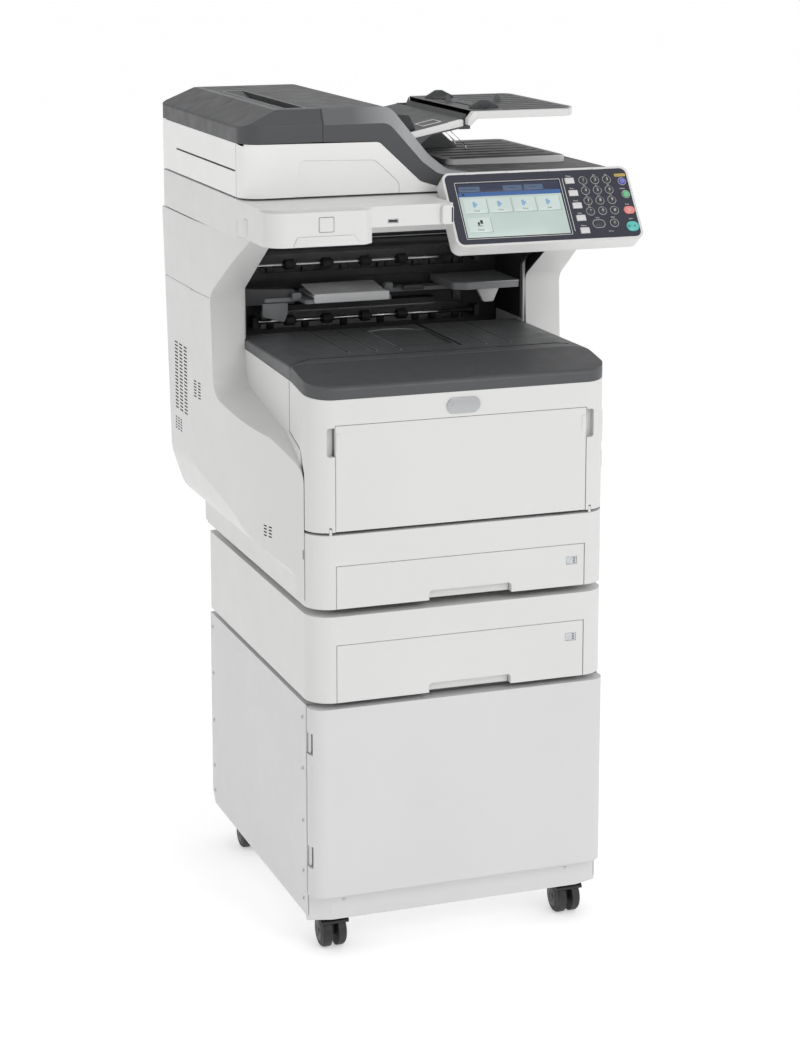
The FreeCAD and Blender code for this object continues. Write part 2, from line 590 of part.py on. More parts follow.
# ---- scanner ----------------------------------------------------------------------
GLASS_X = (-240.0, 190.0)
GLASS_Y = (160.0, 465.0)
scanner = plan_block(HEAD, (12.0, HEAD_DEPTH), (1036.0, SCANNER_Z[1]), 28.0, 18.0)
scanner = scanner.cut(box((-HEAD - 1, HEAD + 1), (0.0, 146.0), (1030.0, 1047.0)))
lower_deck = plan_block(HEAD, (146.0, HEAD_DEPTH), (SCANNER_Z[0], 1037.0), 10.0, 18.0)
grip_bulge = slab_z([(-HEAD, 1.0, 28), (-143.0, 1.0, 14), (-129.0, 14.0, 6), (-129.0, 150.0, 6),
                     (-HEAD, 150.0, 6)],
                    (1026.0, SCANNER_Z[1] - 3))
scanner = join(scanner, lower_deck, grip_bulge)
panel_room = slab_x([(-20.0, 980.0), (42.0, 980.0), (42.0, 1005.0), (112.0, 1100.0), (-20.0, 1100.0)],
                    (-12.0, HEAD + 5))
scanner = scanner.cut(panel_room)
carriage_well = box((-268.0, 262.0), (154.0, 548.0), (SCANNER_Z[0] + WALL, SCANNER_Z[1] - 4))
front_well = box((-262.0, -20.0), (24.0, 150.0), (1050.0, SCANNER_Z[1] - 6))
glass_window = box((GLASS_X[0] + 5, GLASS_X[1] - 5), (GLASS_Y[0] + 5, GLASS_Y[1] - 5), (1060.0, 1080.0))
glass_seat = box((GLASS_X[0] - 0.3, GLASS_X[1] + 0.3), (GLASS_Y[0] - 0.3, GLASS_Y[1] + 0.3),
                 (1073.0, 1080.0))
usb_port = box((-107.0, -92.0), (0.0, 20.0), (1052.0, 1057.5))
grip_hollow = slab_y([(-246.0, 1020.0), (-246.0, 1043.0, 5), (-153.0, 1043.0, 5), (-153.0, 1020.0)],
                     (14.0, 140.0))
rear_bevel = slab_x([(556.0, 1019.0), (HEAD_DEPTH + 1, 1019.0), (HEAD_DEPTH + 1, 1027.0)],
                    (-HEAD - 1, HEAD + 1))
scanner = cut(scanner, carriage_well, front_well, glass_window, glass_seat, usb_port, grip_hollow,
              rear_bevel)
bracket_room = join(box((185.5, 194.5), (547.0, 560.0), (1015.0, SCANNER_HINGE[1])),
                    rod_x((185.5, 194.5), *SCANNER_HINGE, 5.0))
bracket_bore = rod_x((179.5, 200.5), *SCANNER_HINGE, 2.0 + RUN)
LID_HINGE = (560.0, 1077.6)
LID_PIN_X = (160.0, 200.0)
KNUCKLE_X = (170.0, 190.0)
lid_post = join(
    box((LID_PIN_X[0], KNUCKLE_X[0] - 0.4), (557.6, 562.4), (1070.0, LID_HINGE[1])),
    box((KNUCKLE_X[1] + 0.4, LID_PIN_X[1]), (557.6, 562.4), (1070.0, LID_HINGE[1])),
    rod_x((LID_PIN_X[0], KNUCKLE_X[0] - 0.4), *LID_HINGE, 2.4),
    rod_x((KNUCKLE_X[1] + 0.4, LID_PIN_X[1]), *LID_HINGE, 2.4),
)
knuckle_room = rod_x((KNUCKLE_X[0] - 0.4, KNUCKLE_X[1] + 0.4), *LID_HINGE, 2.9)
for tool in (bracket_room, bracket_bore, knuckle_room):
    scanner = cut(scanner, tool, mirror(tool))
lid_pin = rod_x(LID_PIN_X, *LID_HINGE, 1.4)
for post in (lid_post, lid_pin):
    scanner = join(scanner, post, mirror(post))
PANEL_ANGLE = math.degrees(math.atan2(93.0, 66.0))
PANEL_FOOT = V(0, 14.0, 1013.0)
PANEL_HINGE = (92.0, -34.0)   # along the slope, below the face


def on_panel(shape):
    """Place a shape drawn flat (X, slope, height above the face) on the sloping panel."""
    placed = shape.copy()
    placed.rotate(V(0, 0, 0), V(1, 0, 0), PANEL_ANGLE)
    placed.translate(PANEL_FOOT)
    return placed


for lug_x in (46.0, 226.0):
    scanner = scanner.cut(on_panel(box((lug_x - 19, lug_x + 19), (68.0, 114.0), (-58.0, -10.0))))
tilt_arm = slab_x([(80.0, -66.0), (104.0, -66.0), (104.0, -36.0, 10), (80.0, -36.0, 10)], (40.0, 52.0))
tilt_arms = [on_panel(tilt_arm), on_panel(tilt_arm.translated(V(180, 0, 0)))]
tilt_bore = on_panel(rod_x((20.0, 260.0), PANEL_HINGE[0], PANEL_HINGE[1] - 8.0, 3.0 + RUN))
scanner = join(scanner, *tilt_arms)
save("scanner_base", scanner.cut(tilt_bore))

save("platen_glass", box(GLASS_X, GLASS_Y, (1073.2, SCANNER_Z[1])))
carriage = box((-255.0, -215.0), (160.0, 465.0), (1030.0, 1066.0))
carriage = carriage.cut(box((-250.0, -220.0), (166.0, 459.0), (1034.0, 1070.0)))
save("scan_carriage", join(carriage, box((-240.0, -230.0), (165.0, 460.0), (1056.0, 1062.0))))

# ---- operator panel ---------------------------------------------------------------
PANEL_X = (-4.0, 281.0)
PANEL_V = (0.0, 117.0)
KEY_TRAVEL = 1.0
shell = slab_z(rounded_rectangle(PANEL_X, PANEL_V, 12.0), (-26.0, 0.0))
shell_room = slab_z(rounded_rectangle((PANEL_X[0] + 3, PANEL_X[1] - 3), (3.0, 114.0), 9.0), (-23.0, -3.0))
tilt_lugs = [box((x - 5, x + 5), (84.0, 100.0), (-48.0, -25.0)) for x in (34.0, 58.0, 214.0, 238.0)]
tilt_pins = [rod_x((x - 14, x + 14), PANEL_HINGE[0], PANEL_HINGE[1] - 8.0, 3.0) for x in (46.0, 226.0)]

number_keys = [(208.0 + 18.5 * c, 96.0 - 16.6 * r, 5.4) for r in range(4) for c in range(3)]
function_keys = [(187.0 + 1.2 * i, 96.0 - 20.0 * i) for i in range(5)]
round_keys = {"power_save_key": (268.0, 92.0, 5.0), "reset_key": (269.0, 71.0, 5.2)}
oblong_keys = {"stop_key": (267.5, 45.0, 8.5, 6.0), "start_key": (266.5, 19.0, 9.5, 7.6)}
screen_x = (14.0, 171.0)
screen_v = (13.0, 99.0)


def oval(x, v, half_length, radius, z):
    """Flat-sided oval key blank."""
    reach = max(half_length - radius, 0.01)
    middle = box((x - reach, x + reach), (v - radius, v + radius), z)
    return join(middle, rod_z(x - reach, v, z, radius), rod_z(x + reach, v, z, radius))


openings = []
for x, v, radius in number_keys:
    openings.append(rod_z(x, v, (-12.0, 2.0), radius + 0.4))
for x, v in function_keys:
    openings.append(box((x - 7.4, x + 7.4), (v - 4.9, v + 4.9), (-12.0, 2.0)))
for x, v, radius in round_keys.values():
    openings.append(rod_z(x, v, (-12.0, 2.0), radius + 0.4))
for x, v, length, radius in oblong_keys.values():
    openings.append(oval(x, v, length + 0.4, radius + 0.4, (-12.0, 2.0)))
openings.append(oval(216.0, 26.0, 8.4, 5.4, (-12.0, 2.0)))
openings.append(rod_z(240.0, 26.0, (-12.0, 2.0), 5.4))
screen_seat = box((screen_x[0] - 0.3, screen_x[1] + 0.3), (screen_v[0] - 0.3, screen_v[1] + 0.3),
                  (-4.0, 2.0))
panel_case = cut(join(shell.cut(shell_room), *tilt_lugs), *openings, screen_seat)
save("panel_case", on_panel(join(panel_case, *tilt_pins)))
save("touch_screen", on_panel(box(screen_x, screen_v, (-4.0, -0.4))))

KEY_Z = (-9.0, 1.6)
number_blanks = [rod_z(x, v, KEY_Z, radius) for x, v, radius in number_keys]
number_blanks.append(oval(216.0, 26.0, 8.0, 5.0, KEY_Z))
number_blanks.append(rod_z(240.0, 26.0, KEY_Z, 5.0))
keypad_mat = box((200.0, 254.0), (19.0, 104.0), (-10.0, -8.5))
save("number_keys", on_panel(join(keypad_mat, *number_blanks)))
function_blanks = [box((x - 7.0, x + 7.0), (v - 4.5, v + 4.5), KEY_Z) for x, v in function_keys]
function_mat = box((179.0, 199.0), (10.0, 103.0), (-10.0, -8.5))
save("function_keys", on_panel(join(function_mat, *function_blanks)))
for name, (x, v, radius) in round_keys.items():
    flange = rod_z(x, v, (-10.0, -8.5), radius + 1.5)
    save(name, on_panel(join(rod_z(x, v, KEY_Z, radius), flange)))
for name, (x, v, length, radius) in oblong_keys.items():
    flange = oval(x, v, length + 1.0, radius + 1.0, (-10.0, -8.5))
    save(name, on_panel(join(oval(x, v, length, radius, KEY_Z), flange)))

# ---- document feeder --------------------------------------------------------------
ADF_Y = (118.0, 559.0)
ADF_Z = 1079.0
# falling line of the dark housing: at its crest, and where the bevel meets the front face
CREST = [(-62.0, FEEDER_TOP, 26), (-4.0, 1130.0, 30), (24.0, 1108.0, 30), (60.0, 1102.5, 10),
         (HEAD, 1100.0)]
BROW = [(-68.0, 1178.0, 22), (-18.0, 1122.0, 30), (6.0, 1104.0, 26), (48.0, 1097.0, 10), (HEAD, 1096.0)]
white_section = [(-HEAD, ADF_Z), (-HEAD, FEEDER_SHOULDER), (-82.0, 1152.0, 12), (-20.0, 1094.0, 20),
                 (16.0, 1083.0, 10),
                 (HEAD, 1083.0), (HEAD, ADF_Z)]
adf_plan = plan_block(HEAD, ADF_Y, (1000.0, 1300.0), 30.0, 14.0)
adf_base = common(slab_y(white_section, ADF_Y), adf_plan)
adf_cavity = slab_y([(-HEAD + WALL, 1086.0), (-HEAD + WALL, 1170.0), (-90.0, 1170.0), (-90.0, 1149.0),
                     (-30.0, 1097.0, 10),
                     (-22.0, 1086.0)], (ADF_Y[0] + WALL, ADF_Y[1] - WALL))
adf_core = plan_block(HEAD - WALL, (ADF_Y[0] + WALL, ADF_Y[1] - WALL), (1000.0, 1300.0), 27.0, 12.0)
side_slot = box((-HEAD - 1, -HEAD + 1.5), (155.0, 469.0), (1114.0, 1116.5))
grip_recess = slab_y([(-207.0, 1070.0), (-198.0, 1130.0, 8), (-88.0, 1127.0, 14), (-52.0, 1094.0, 14),
                      (-52.0, 1070.0)],
                     (100.0, 121.5))
adf_base = cut(adf_base, common(adf_cavity, adf_core), side_slot)
adf_base = cut(adf_base, grip_recess.common(box((-300.0, 300.0), (100.0, 119.6), (ADF_Z, 1200.0))))
FEED_SHAFT = (-225.0, 1148.0)
bearings = [box((-235.0, -215.0), y, (1138.0, 1153.0)) for y in ((120.5, 129.0), (548.0, 556.5))]
adf_base = join(adf_base, *bearings)
adf_base = adf_base.cut(rod_y(FEED_SHAFT[0], (122.0, 555.0), FEED_SHAFT[1], 4.0 + RUN))
# knuckles of the rear hinge
post_room = rod_x((LID_PIN_X[0] - 0.4, LID_PIN_X[1] + 0.4), *LID_HINGE, 2.8)
knuckle = join(
    rod_x(KNUCKLE_X, *LID_HINGE, 2.4),
    box(KNUCKLE_X, (552.0, 560.0), (1078.4, 1080.0)),
)
knuckle = knuckle.cut(rod_x((KNUCKLE_X[0] - 1, KNUCKLE_X[1] + 1), *LID_HINGE, 1.4 + RUN))
adf_base = cut(adf_base, post_room, mirror(post_room))
adf_base = join(adf_base, knuckle, mirror(knuckle))
# bearings of the feed cover, and the scoop that its lower edge swings through
FEED_HINGE = (-276.0, 1158.0)
adf_base = adf_base.cut(rod_y(FEED_HINGE[0], (130.5, 600.0), FEED_HINGE[1], 6.7))
for y in ((141.0, 147.0), (538.0, 544.0)):
    hook = slab_y([(-279.0, 1138.0), (-269.0, 1138.0), (-269.0, FEED_HINGE[1] + 2.2),
                   (FEED_HINGE[0], FEED_HINGE[1] + 2.2),
                   (FEED_HINGE[0], FEED_HINGE[1] - 2.2), (-272.8, FEED_HINGE[1] - 2.2),
                   (-272.8, 1149.0), (-279.0, 1149.0)], y)
    adf_base = join(adf_base, hook, rod_y(FEED_HINGE[0], y, FEED_HINGE[1], 2.2))
feed_pins = [rod_y(FEED_HINGE[0], y, FEED_HINGE[1], 1.6) for y in ((135.5, 141.5), (543.5, 552.0))]
save("adf_base", join(adf_base, *feed_pins))
pad = box((GLASS_X[0] - 6, GLASS_X[1] + 6), (GLASS_Y[0] - 6, GLASS_Y[1] + 6), (1076.4, ADF_Z))
save("platen_pad", pad)

# dark upper housing: feed cover at the left, fixed deck at the right
SPLIT_X = -165.0
cover_section = [(-HEAD, FEEDER_SHOULDER + 0.6), (-HEAD, 1177.0, 4), (-230.0, FEEDER_TOP, 14),
                 (SPLIT_X - GAP / 2, FEEDER_TOP), (SPLIT_X - GAP / 2, FEEDER_SHOULDER + 0.6)]
dark_side = slab_x([(ADF_Y[0], 1070.0), (ADF_Y[0], 1178.0), (ADF_Y[0] + 13, FEEDER_TOP + 1),
                    (ADF_Y[1] - 9, FEEDER_TOP + 1),
                    (ADF_Y[1], 1178.0), (ADF_Y[1], 1070.0)], (-HEAD - 1, HEAD + 1))
feed_cover = common(slab_y(cover_section, ADF_Y), adf_plan, dark_side)
feed_room = slab_y([(-HEAD + WALL, 1150.0), (-HEAD + WALL, 1174.0), (-230.0, FEEDER_TOP - WALL),
                    (SPLIT_X + 5, FEEDER_TOP - WALL), (SPLIT_X + 5, 1150.0)],
                   (ADF_Y[0] + 22, ADF_Y[1] - 12))
feed_cover = feed_cover.cut(feed_room)
pin_bore = rod_y(FEED_HINGE[0], (135.0, 552.5), FEED_HINGE[1], 1.6 + RUN)
feed_cover = feed_cover.cut(pin_bore)
finger_groove = slab_z([(-211.0, 150.0, 3), (-181.0, 150.0, 3), (-181.0, 456.0, 3), (-211.0, 456.0, 3)],
                       (1192.0, 1205.0))
groove_skin = slab_z([(-214.0, 147.0), (-178.0, 147.0), (-178.0, 459.0), (-214.0, 459.0)],
                     (1189.0, 1198.0))
save("adf_feed_cover", cut(join(feed_cover, groove_skin), finger_groove))


def deck_section(crest):
    left = SPLIT_X + GAP / 2
    lower = [(HEAD, 1083.4), (16.0, 1083.4, 10), (-19.6, 1094.5, 20), (-81.6, 1152.6, 12),
             (left, FEEDER_SHOULDER + 0.6)]
    return [(left, crest[0][1])] + crest + lower


BEVEL_Y = ADF_Y[0] + 13.0
front_wire = closed_wire(deck_section(BROW), lambda p: V(p.x, ADF_Y[0], p.y))
back_wire = closed_wire(deck_section(CREST), lambda p: V(p.x, BEVEL_Y, p.y))
bevel = Part.makeLoft([front_wire, back_wire], True, True)
deck = join(bevel, slab_y(deck_section(CREST), (BEVEL_Y, ADF_Y[1])))
deck = common(deck, adf_plan, dark_side)
deck_room = slab_y([(SPLIT_X - 1, 1150.0), (SPLIT_X - 1, FEEDER_TOP - WALL), (-75.0, FEEDER_TOP - WALL),
                    (-48.0, 1180.0), (-70.0, 1156.0), (-80.0, 1150.0)], (ADF_Y[0] + 14, ADF_Y[1] - 12))
raised_deck = slab_z(rounded_rectangle((62.0, 252.0), (229.0, 485.0), 12.0), (1098.0, 1110.0))
hopper = slab_y([(-56.0, 1140.0), (-46.0, 1160.0), (46.0, 1178.0), (50.0, 1178.0), (50.0, 1166.0),
                 (0.0, 1157.0),
                 (-24.0, 1138.0)], (132.0, 406.0))
deck = join(deck.cut(deck_room), raised_deck, hopper)
tray_barrel_bore = rod_y(56.0, (100.0, 420.0), 1171.0, 6.4)
hinge_cheeks = [box((48.0, 64.0), (y, y + 8.0), (1163.0, 1179.0)) for y in (142.0, 400.2)]
deck = join(deck.cut(tray_barrel_bore), box((38.0, 49.0), (142.0, 408.2),
                                            (1164.0, 1176.0)).cut(tray_barrel_bore),
            *hinge_cheeks)
save("adf_deck", deck.cut(rod_y(56.0, (100.0, 420.0), 1171.0, 3.0 + RUN)))

feed_shaft = rod_y(FEED_SHAFT[0], (122.4, 554.6), FEED_SHAFT[1], 4.0)
feed_tyres = [rod_y(FEED_SHAFT[0], (y - 14.0, y + 14.0), FEED_SHAFT[1], 12.0) for y in (250.0, 320.0)]
save("adf_feed_roller", join(feed_shaft, *feed_tyres))

# ---- document tray and its sliding guides -----------------------------------------
TRAY_X = (62.0, 226.0)
tray_plate = slab_z([(TRAY_X[0], 118.0, 8), (TRAY_X[1] - 20, 118.0, 20), (TRAY_X[1], 150.0, 30),
                     (TRAY_X[1], 394.0, 16),
                     (TRAY_X[0], 394.0, 8)], (1180.0, 1190.0))
tray_neck = slab_y([(54.0, 1166.0), (60.0, 1166.0), (76.0, 1184.0), (64.0, 1188.0)], (152.0, 398.0))
barrel = rod_y(56.0, (150.6, 399.6), 1171.0, 6.0)
barrel_pin = rod_y(56.0, (143.0, 407.5), 1171.0, 3.0)
guide_slot = box((88.0, 94.0), (150.0, 362.0), (1180.0, 1195.0))
save("document_tray", join(tray_plate, tray_neck, barrel, barrel_pin).cut(guide_slot))


def document_guide(y, outward):
    """Upright guide with a foot that runs in the tray's cross slot."""
    fin_y = tuple(sorted((y, y + outward * 4)))
    foot_y = tuple(sorted((y - outward * 14, y + outward * 4)))
    fin = slab_y([(72.0, 1190.4), (72.0, 1193.0, 2), (88.0, 1202.0, 4), (98.0, 1202.0, 4),
                  (116.0, 1193.0, 2), (116.0, 1190.4)], fin_y)
    foot = box((80.0, 104.0), foot_y, (1190.4, 1191.6))
    key = box((88.5, 93.5), foot_y, (1186.0, 1191.0))
    return join(fin, foot, key)


save("front_document_guide", document_guide(168.0, -1.0))
save("rear_document_guide", document_guide(344.0, 1.0))
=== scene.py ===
import json
import math

import bmesh
import bpy
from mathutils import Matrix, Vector
from mathutils.bvhtree import BVHTree


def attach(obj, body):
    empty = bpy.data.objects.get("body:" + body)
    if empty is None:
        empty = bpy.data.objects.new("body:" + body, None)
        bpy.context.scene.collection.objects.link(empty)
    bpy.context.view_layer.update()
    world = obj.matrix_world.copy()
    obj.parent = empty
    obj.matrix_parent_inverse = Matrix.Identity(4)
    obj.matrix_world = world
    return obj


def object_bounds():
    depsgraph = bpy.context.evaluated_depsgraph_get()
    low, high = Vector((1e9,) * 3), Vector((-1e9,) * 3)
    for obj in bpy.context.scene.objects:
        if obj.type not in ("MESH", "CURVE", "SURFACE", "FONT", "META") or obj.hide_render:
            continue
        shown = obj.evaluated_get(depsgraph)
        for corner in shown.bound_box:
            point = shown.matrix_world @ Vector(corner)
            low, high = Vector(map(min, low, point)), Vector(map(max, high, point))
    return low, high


# Looks of a floor-standing office copier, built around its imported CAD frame.
# Places are in millimetres from the CAD's own datum: x from the centre line, y from the
# front face towards the rear, z up from the floor.  at() turns them into metres.

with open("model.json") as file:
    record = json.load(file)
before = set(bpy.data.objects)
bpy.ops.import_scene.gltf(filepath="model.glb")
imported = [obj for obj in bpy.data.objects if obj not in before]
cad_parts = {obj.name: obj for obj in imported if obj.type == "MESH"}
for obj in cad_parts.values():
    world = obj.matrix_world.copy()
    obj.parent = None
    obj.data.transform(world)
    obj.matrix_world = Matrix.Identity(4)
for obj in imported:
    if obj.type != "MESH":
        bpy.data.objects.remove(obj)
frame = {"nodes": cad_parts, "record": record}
cad_low, cad_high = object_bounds()
NODES = frame["nodes"]
MM = 0.001


def at(x, y, z):
    return Vector((x * MM, cad_low.y + y * MM, z * MM))


# ---- driving dimensions, mm ----


HALF = 224.5              # half width of the printer and cabinet
HEAD = 281.5              # half width of the scanner and document feeder
SHAFT_Y = 412.0           # exit-roller shafts
UPPER_SHAFT = 939.0
LOWER_SHAFT = 853.0
GLASS_TOP = 1076.0        # scanner case round the platen glass
SCANNER_FACE = 12.0       # front of the scanner case, from the front face
GRIP_FACE = 1.0           # front of its hand grip
DECK_TOP = 1110.0
DOC_TRAY_TOP = 1190.0
PANEL_SLOPE = math.atan2(93.0, 66.0)
PANEL_FOOT = (14.0, 1013.0)


def on_panel(x, slope, height):
    """A point on the sloping operator panel: x, distance up the slope, height above it."""
    y = PANEL_FOOT[0] + slope * math.cos(PANEL_SLOPE) - height * math.sin(PANEL_SLOPE)
    z = PANEL_FOOT[1] + slope * math.sin(PANEL_SLOPE) + height * math.cos(PANEL_SLOPE)
    return at(x, y, z)


def facing_front(y):
    return lambda u, v, w: at(u, y - w, v)


def facing_rear(y):
    return lambda u, v, w: at(u, y + w, v)


def facing_left(x):
    return lambda u, v, w: at(x - w, u, v)


def facing_right(x):
    return lambda u, v, w: at(x + w, u, v)


def facing_up(z):
    return lambda u, v, w: at(u, v, z + w)


# ---- materials ----
def srgb(r, g, b):
    """Linear colour from 0-255 screen values."""
    linear = (c / 255 / 12.92 if c <= 10 else ((c / 255 + 0.055) / 1.055) ** 2.4 for c in (r, g, b))
    return tuple(linear) + (1.0,)


class Nodes:
    """Small helper to wire a material's nodes."""

    def __init__(self, name):
        self.material = bpy.data.materials.new(name)
        self.material.use_nodes = True
        self.tree = self.material.node_tree
        self.shader = self.tree.nodes["Principled BSDF"]
        self.place = self.add("ShaderNodeTexCoord").outputs["Object"]

    def add(self, kind, **values):
        node = self.tree.nodes.new(kind)
        for key, value in values.items():
            setattr(node, key, value)
        return node

    def link(self, source, target):
        self.tree.links.new(source, target)

    def set(self, **values):
        for key, value in values.items():
            self.shader.inputs[key.replace("_", " ")].default_value = value

    def noise(self, scale, detail=2.0, stretch=None):
        node = self.add("ShaderNodeTexNoise")
        node.inputs["Scale"].default_value = scale
        node.inputs["Detail"].default_value = detail
        source = self.place
        if stretch:
            mapping = self.add("ShaderNodeMapping")
            mapping.inputs["Scale"].default_value = stretch
            self.link(self.place, mapping.inputs["Vector"])
            source = mapping.outputs["Vector"]
        self.link(source, node.inputs["Vector"])
        return node.outputs["Fac"]

    def spread(self, source, low, high, start=0.3, end=0.7):
        node = self.add("ShaderNodeMapRange")
        for key, value in zip(("From Min", "From Max", "To Min", "To Max"), (start, end, low, high)):
            node.inputs[key].default_value = value
        self.link(source, node.inputs["Value"])
        return node.outputs["Result"]

    def mix(self, factor, first, second, mode="MIX"):
        node = self.add("ShaderNodeMix", data_type="RGBA", blend_type=mode)
        for socket, value in ((node.inputs[0], factor), (node.inputs[6], first), (node.inputs[7], second)):
            if hasattr(value, "links"):
                self.link(value, socket)
            else:
                socket.default_value = value
        return node.outputs[2]

    def edges(self, radius):
        """Rounded normal for small edge radii, and a mask that is 1 along the edges."""
        bevel = self.add("ShaderNodeBevel", samples=6)
        bevel.inputs["Radius"].default_value = radius * MM
        geometry = self.add("ShaderNodeNewGeometry")
        dot = self.add("ShaderNodeVectorMath", operation="DOT_PRODUCT")
        self.link(bevel.outputs["Normal"], dot.inputs[0])
        self.link(geometry.outputs["Normal"], dot.inputs[1])
        return bevel.outputs["Normal"], self.spread(dot.outputs["Value"], 1.0, 0.0, 0.72, 0.995)

    def bump(self, height, strength, depth, normal=None):
        node = self.add("ShaderNodeBump")
        node.inputs["Strength"].default_value = strength
        node.inputs["Distance"].default_value = depth * MM
        self.link(height, node.inputs["Height"])
        if normal:
            self.link(normal, node.inputs["Normal"])
        return node.outputs["Normal"]


def moulded(name, colour, rough=0.42, grain=0.35, grain_size=1.1, edge=1.0, dust=0.05, wear=0.10, coat=0.0,
            metal=0.0, fade=None):
    """Moulded or painted surface: fine grain, cloudy tone, softened and worn edges.

    fade is (start, end, colour): the tone changes to colour between two places along x, in mm.
    """
    n = Nodes(name)
    normal, rim = n.edges(edge)
    fine = n.noise(1000.0 / grain_size, 3.0)
    cloud = n.noise(5.0, 3.0)
    handled = n.noise(38.0, 4.0)
    shade = tuple(c * (1 - dust * 1.6) for c in colour[:3]) + (1.0,)
    bright = tuple(min(1.0, c * (1 + dust)) for c in colour[:3]) + (1.0,)
    worn = tuple(c + (1 - c) * wear for c in colour[:3]) + (1.0,)
    tone = n.mix(n.spread(cloud, 0.0, 1.0), shade, bright)
    if fade:
        split = n.add("ShaderNodeSeparateXYZ")
        n.link(n.place, split.inputs["Vector"])
        tone = n.mix(n.spread(split.outputs["X"], 0.0, 1.0, fade[0] * MM, fade[1] * MM), tone, fade[2])
    speckled = n.mix(n.spread(fine, 0.0, 0.35), tone, shade)
    n.link(n.mix(rim, speckled, worn), n.shader.inputs["Base Color"])
    n.link(n.spread(handled, rough - 0.06, rough + 0.07), n.shader.inputs["Roughness"])
    n.link(n.bump(fine, grain, 0.06, n.bump(cloud, 0.05, 0.3, normal)), n.shader.inputs["Normal"])
    n.set(Metallic=metal, Coat_Weight=coat)
    return n.material


def brushed(name, colour, rough=0.3, stretch=(2.0, 60.0, 60.0)):
    """Drawn or brushed metal with fine lines along one axis."""
    n = Nodes(name)
    normal, _ = n.edges(0.4)
    lines = n.noise(30.0, 6.0, stretch)
    tint = tuple(c * 0.8 for c in colour[:3]) + (1.0,)
    n.link(n.mix(n.spread(lines, 0.0, 1.0), tint, colour), n.shader.inputs["Base Color"])
    n.link(n.spread(lines, rough - 0.08, rough + 0.12), n.shader.inputs["Roughness"])
    n.link(n.bump(lines, 0.2, 0.05, normal), n.shader.inputs["Normal"])
    n.set(Metallic=1.0)
    return n.material


def rubber(name, colour, rough=0.75, ribs=0.0):
    n = Nodes(name)
    normal, rim = n.edges(0.6)
    fine = n.noise(1500.0, 2.0)
    dusty = n.spread(n.noise(60.0, 4.0), 0.0, 0.5)
    grey = tuple(c + 0.05 for c in colour[:3]) + (1.0,)
    n.link(n.mix(rim, n.mix(dusty, colour, grey), grey), n.shader.inputs["Base Color"])
    n.link(n.spread(fine, rough - 0.08, rough + 0.08), n.shader.inputs["Roughness"])
    n.link(n.bump(fine, 0.4 + ribs, 0.08, normal), n.shader.inputs["Normal"])
    return n.material


def clear(name, colour, rough, transmission, ior=1.49):
    n = Nodes(name)
    smear = n.noise(25.0, 4.0)
    n.link(n.spread(smear, rough, rough + 0.12), n.shader.inputs["Roughness"])
    tint = tuple(c * 0.93 for c in colour[:3]) + (1.0,)
    n.link(n.mix(n.spread(smear, 0.0, 1.0), colour, tint), n.shader.inputs["Base Color"])
    n.set(Transmission_Weight=transmission, IOR=ior)
    return n.material


def lit(name, colour, glow):
    """Backlit display colour, with the faint cell pattern of the panel behind it."""
    n = Nodes(name)
    cells = n.noise(1400.0, 1.0)
    haze = n.noise(18.0, 2.0)
    tint = tuple(c * 0.9 for c in colour[:3]) + (1.0,)
    shown = n.mix(n.spread(haze, 0.0, 1.0), n.mix(n.spread(cells, 0.0, 0.4), colour, tint), tint)
    n.link(n.mix(0.9, shown, (0.01, 0.01, 0.012, 1.0)), n.shader.inputs["Base Color"])
    n.link(shown, n.shader.inputs["Emission Color"])
    n.link(n.spread(haze, 0.16, 0.26), n.shader.inputs["Roughness"])
    n.set(Emission_Strength=glow)
    return n.material


WHITE = moulded("white_cover", srgb(221, 221, 220), rough=0.38, grain=0.30, wear=0.14, dust=0.014)
PAINT = moulded("cabinet_paint", srgb(217, 217, 217), rough=0.46, grain=0.55, grain_size=2.4, edge=0.7,
                wear=0.10, dust=0.016)
DARK = moulded("dark_cover", srgb(78, 79, 81), rough=0.44, grain=0.32, grain_size=1.2, dust=0.025)
# Brighter copy of white_cover for the feeder base: painted light, standing in for the floor light that the
# scanner block keeps off it
FEEDER_WHITE_LIT = moulded("feeder_white_painted_light", srgb(240, 240, 239), rough=0.36, grain=0.30, wear=0.14, dust=0.012)
FEEDER_DARK = moulded("feeder_dark", srgb(72, 73, 75), rough=0.44, grain=0.32, grain_size=1.2,
                      dust=0.025)
# Lighter copy of dark_cover for the output tray: painted sheen
TRAY_DARK_SHEEN = moulded("tray_dark_painted_sheen", srgb(94, 95, 97), rough=0.42, grain=0.32, grain_size=1.2, wear=0.12,
                    dust=0.03)
INNER = moulded("dark_inner", srgb(40, 41, 43), rough=0.5, grain=0.5, wear=0.06, dust=0.10)
GREY = moulded("grey_inner", srgb(146, 148, 150), rough=0.45, grain=0.4)
# Silver trim, also used for the painted highlights along the bay's edges
SILVER_AND_HIGHLIGHT = moulded("edge_silver_and_highlight", srgb(182, 183, 185), rough=0.30, grain=0.35, wear=0.08, metal=0.15)
BLACK = moulded("castor_black", srgb(26, 26, 28), rough=0.38, grain=0.3, wear=0.08, dust=0.2)
TREAD = rubber("castor_tread", srgb(34, 34, 36), rough=0.62)
TYRE = rubber("roller_rubber", srgb(24, 24, 26), rough=0.7, ribs=0.3)
STEEL = brushed("steel", (0.62, 0.62, 0.63, 1.0))
SPRING = brushed("bright_wire", (0.8, 0.8, 0.8, 1.0), rough=0.22)
FLAP = clear("clear_flap", (0.90, 0.92, 0.94, 1.0), 0.16, 0.30)
GLASS = clear("platen_glass", (0.93, 0.97, 0.96, 1.0), 0.02, 0.9, 1.5)
PAD = moulded("platen_foam", srgb(240, 240, 238), rough=0.7, grain=0.8, grain_size=2.0, edge=0.8)
NAVY = moulded("panel_bezel", srgb(42, 44, 58), rough=0.22, grain=0.12, grain_size=0.7, edge=0.4, wear=0.05,
               coat=0.2)
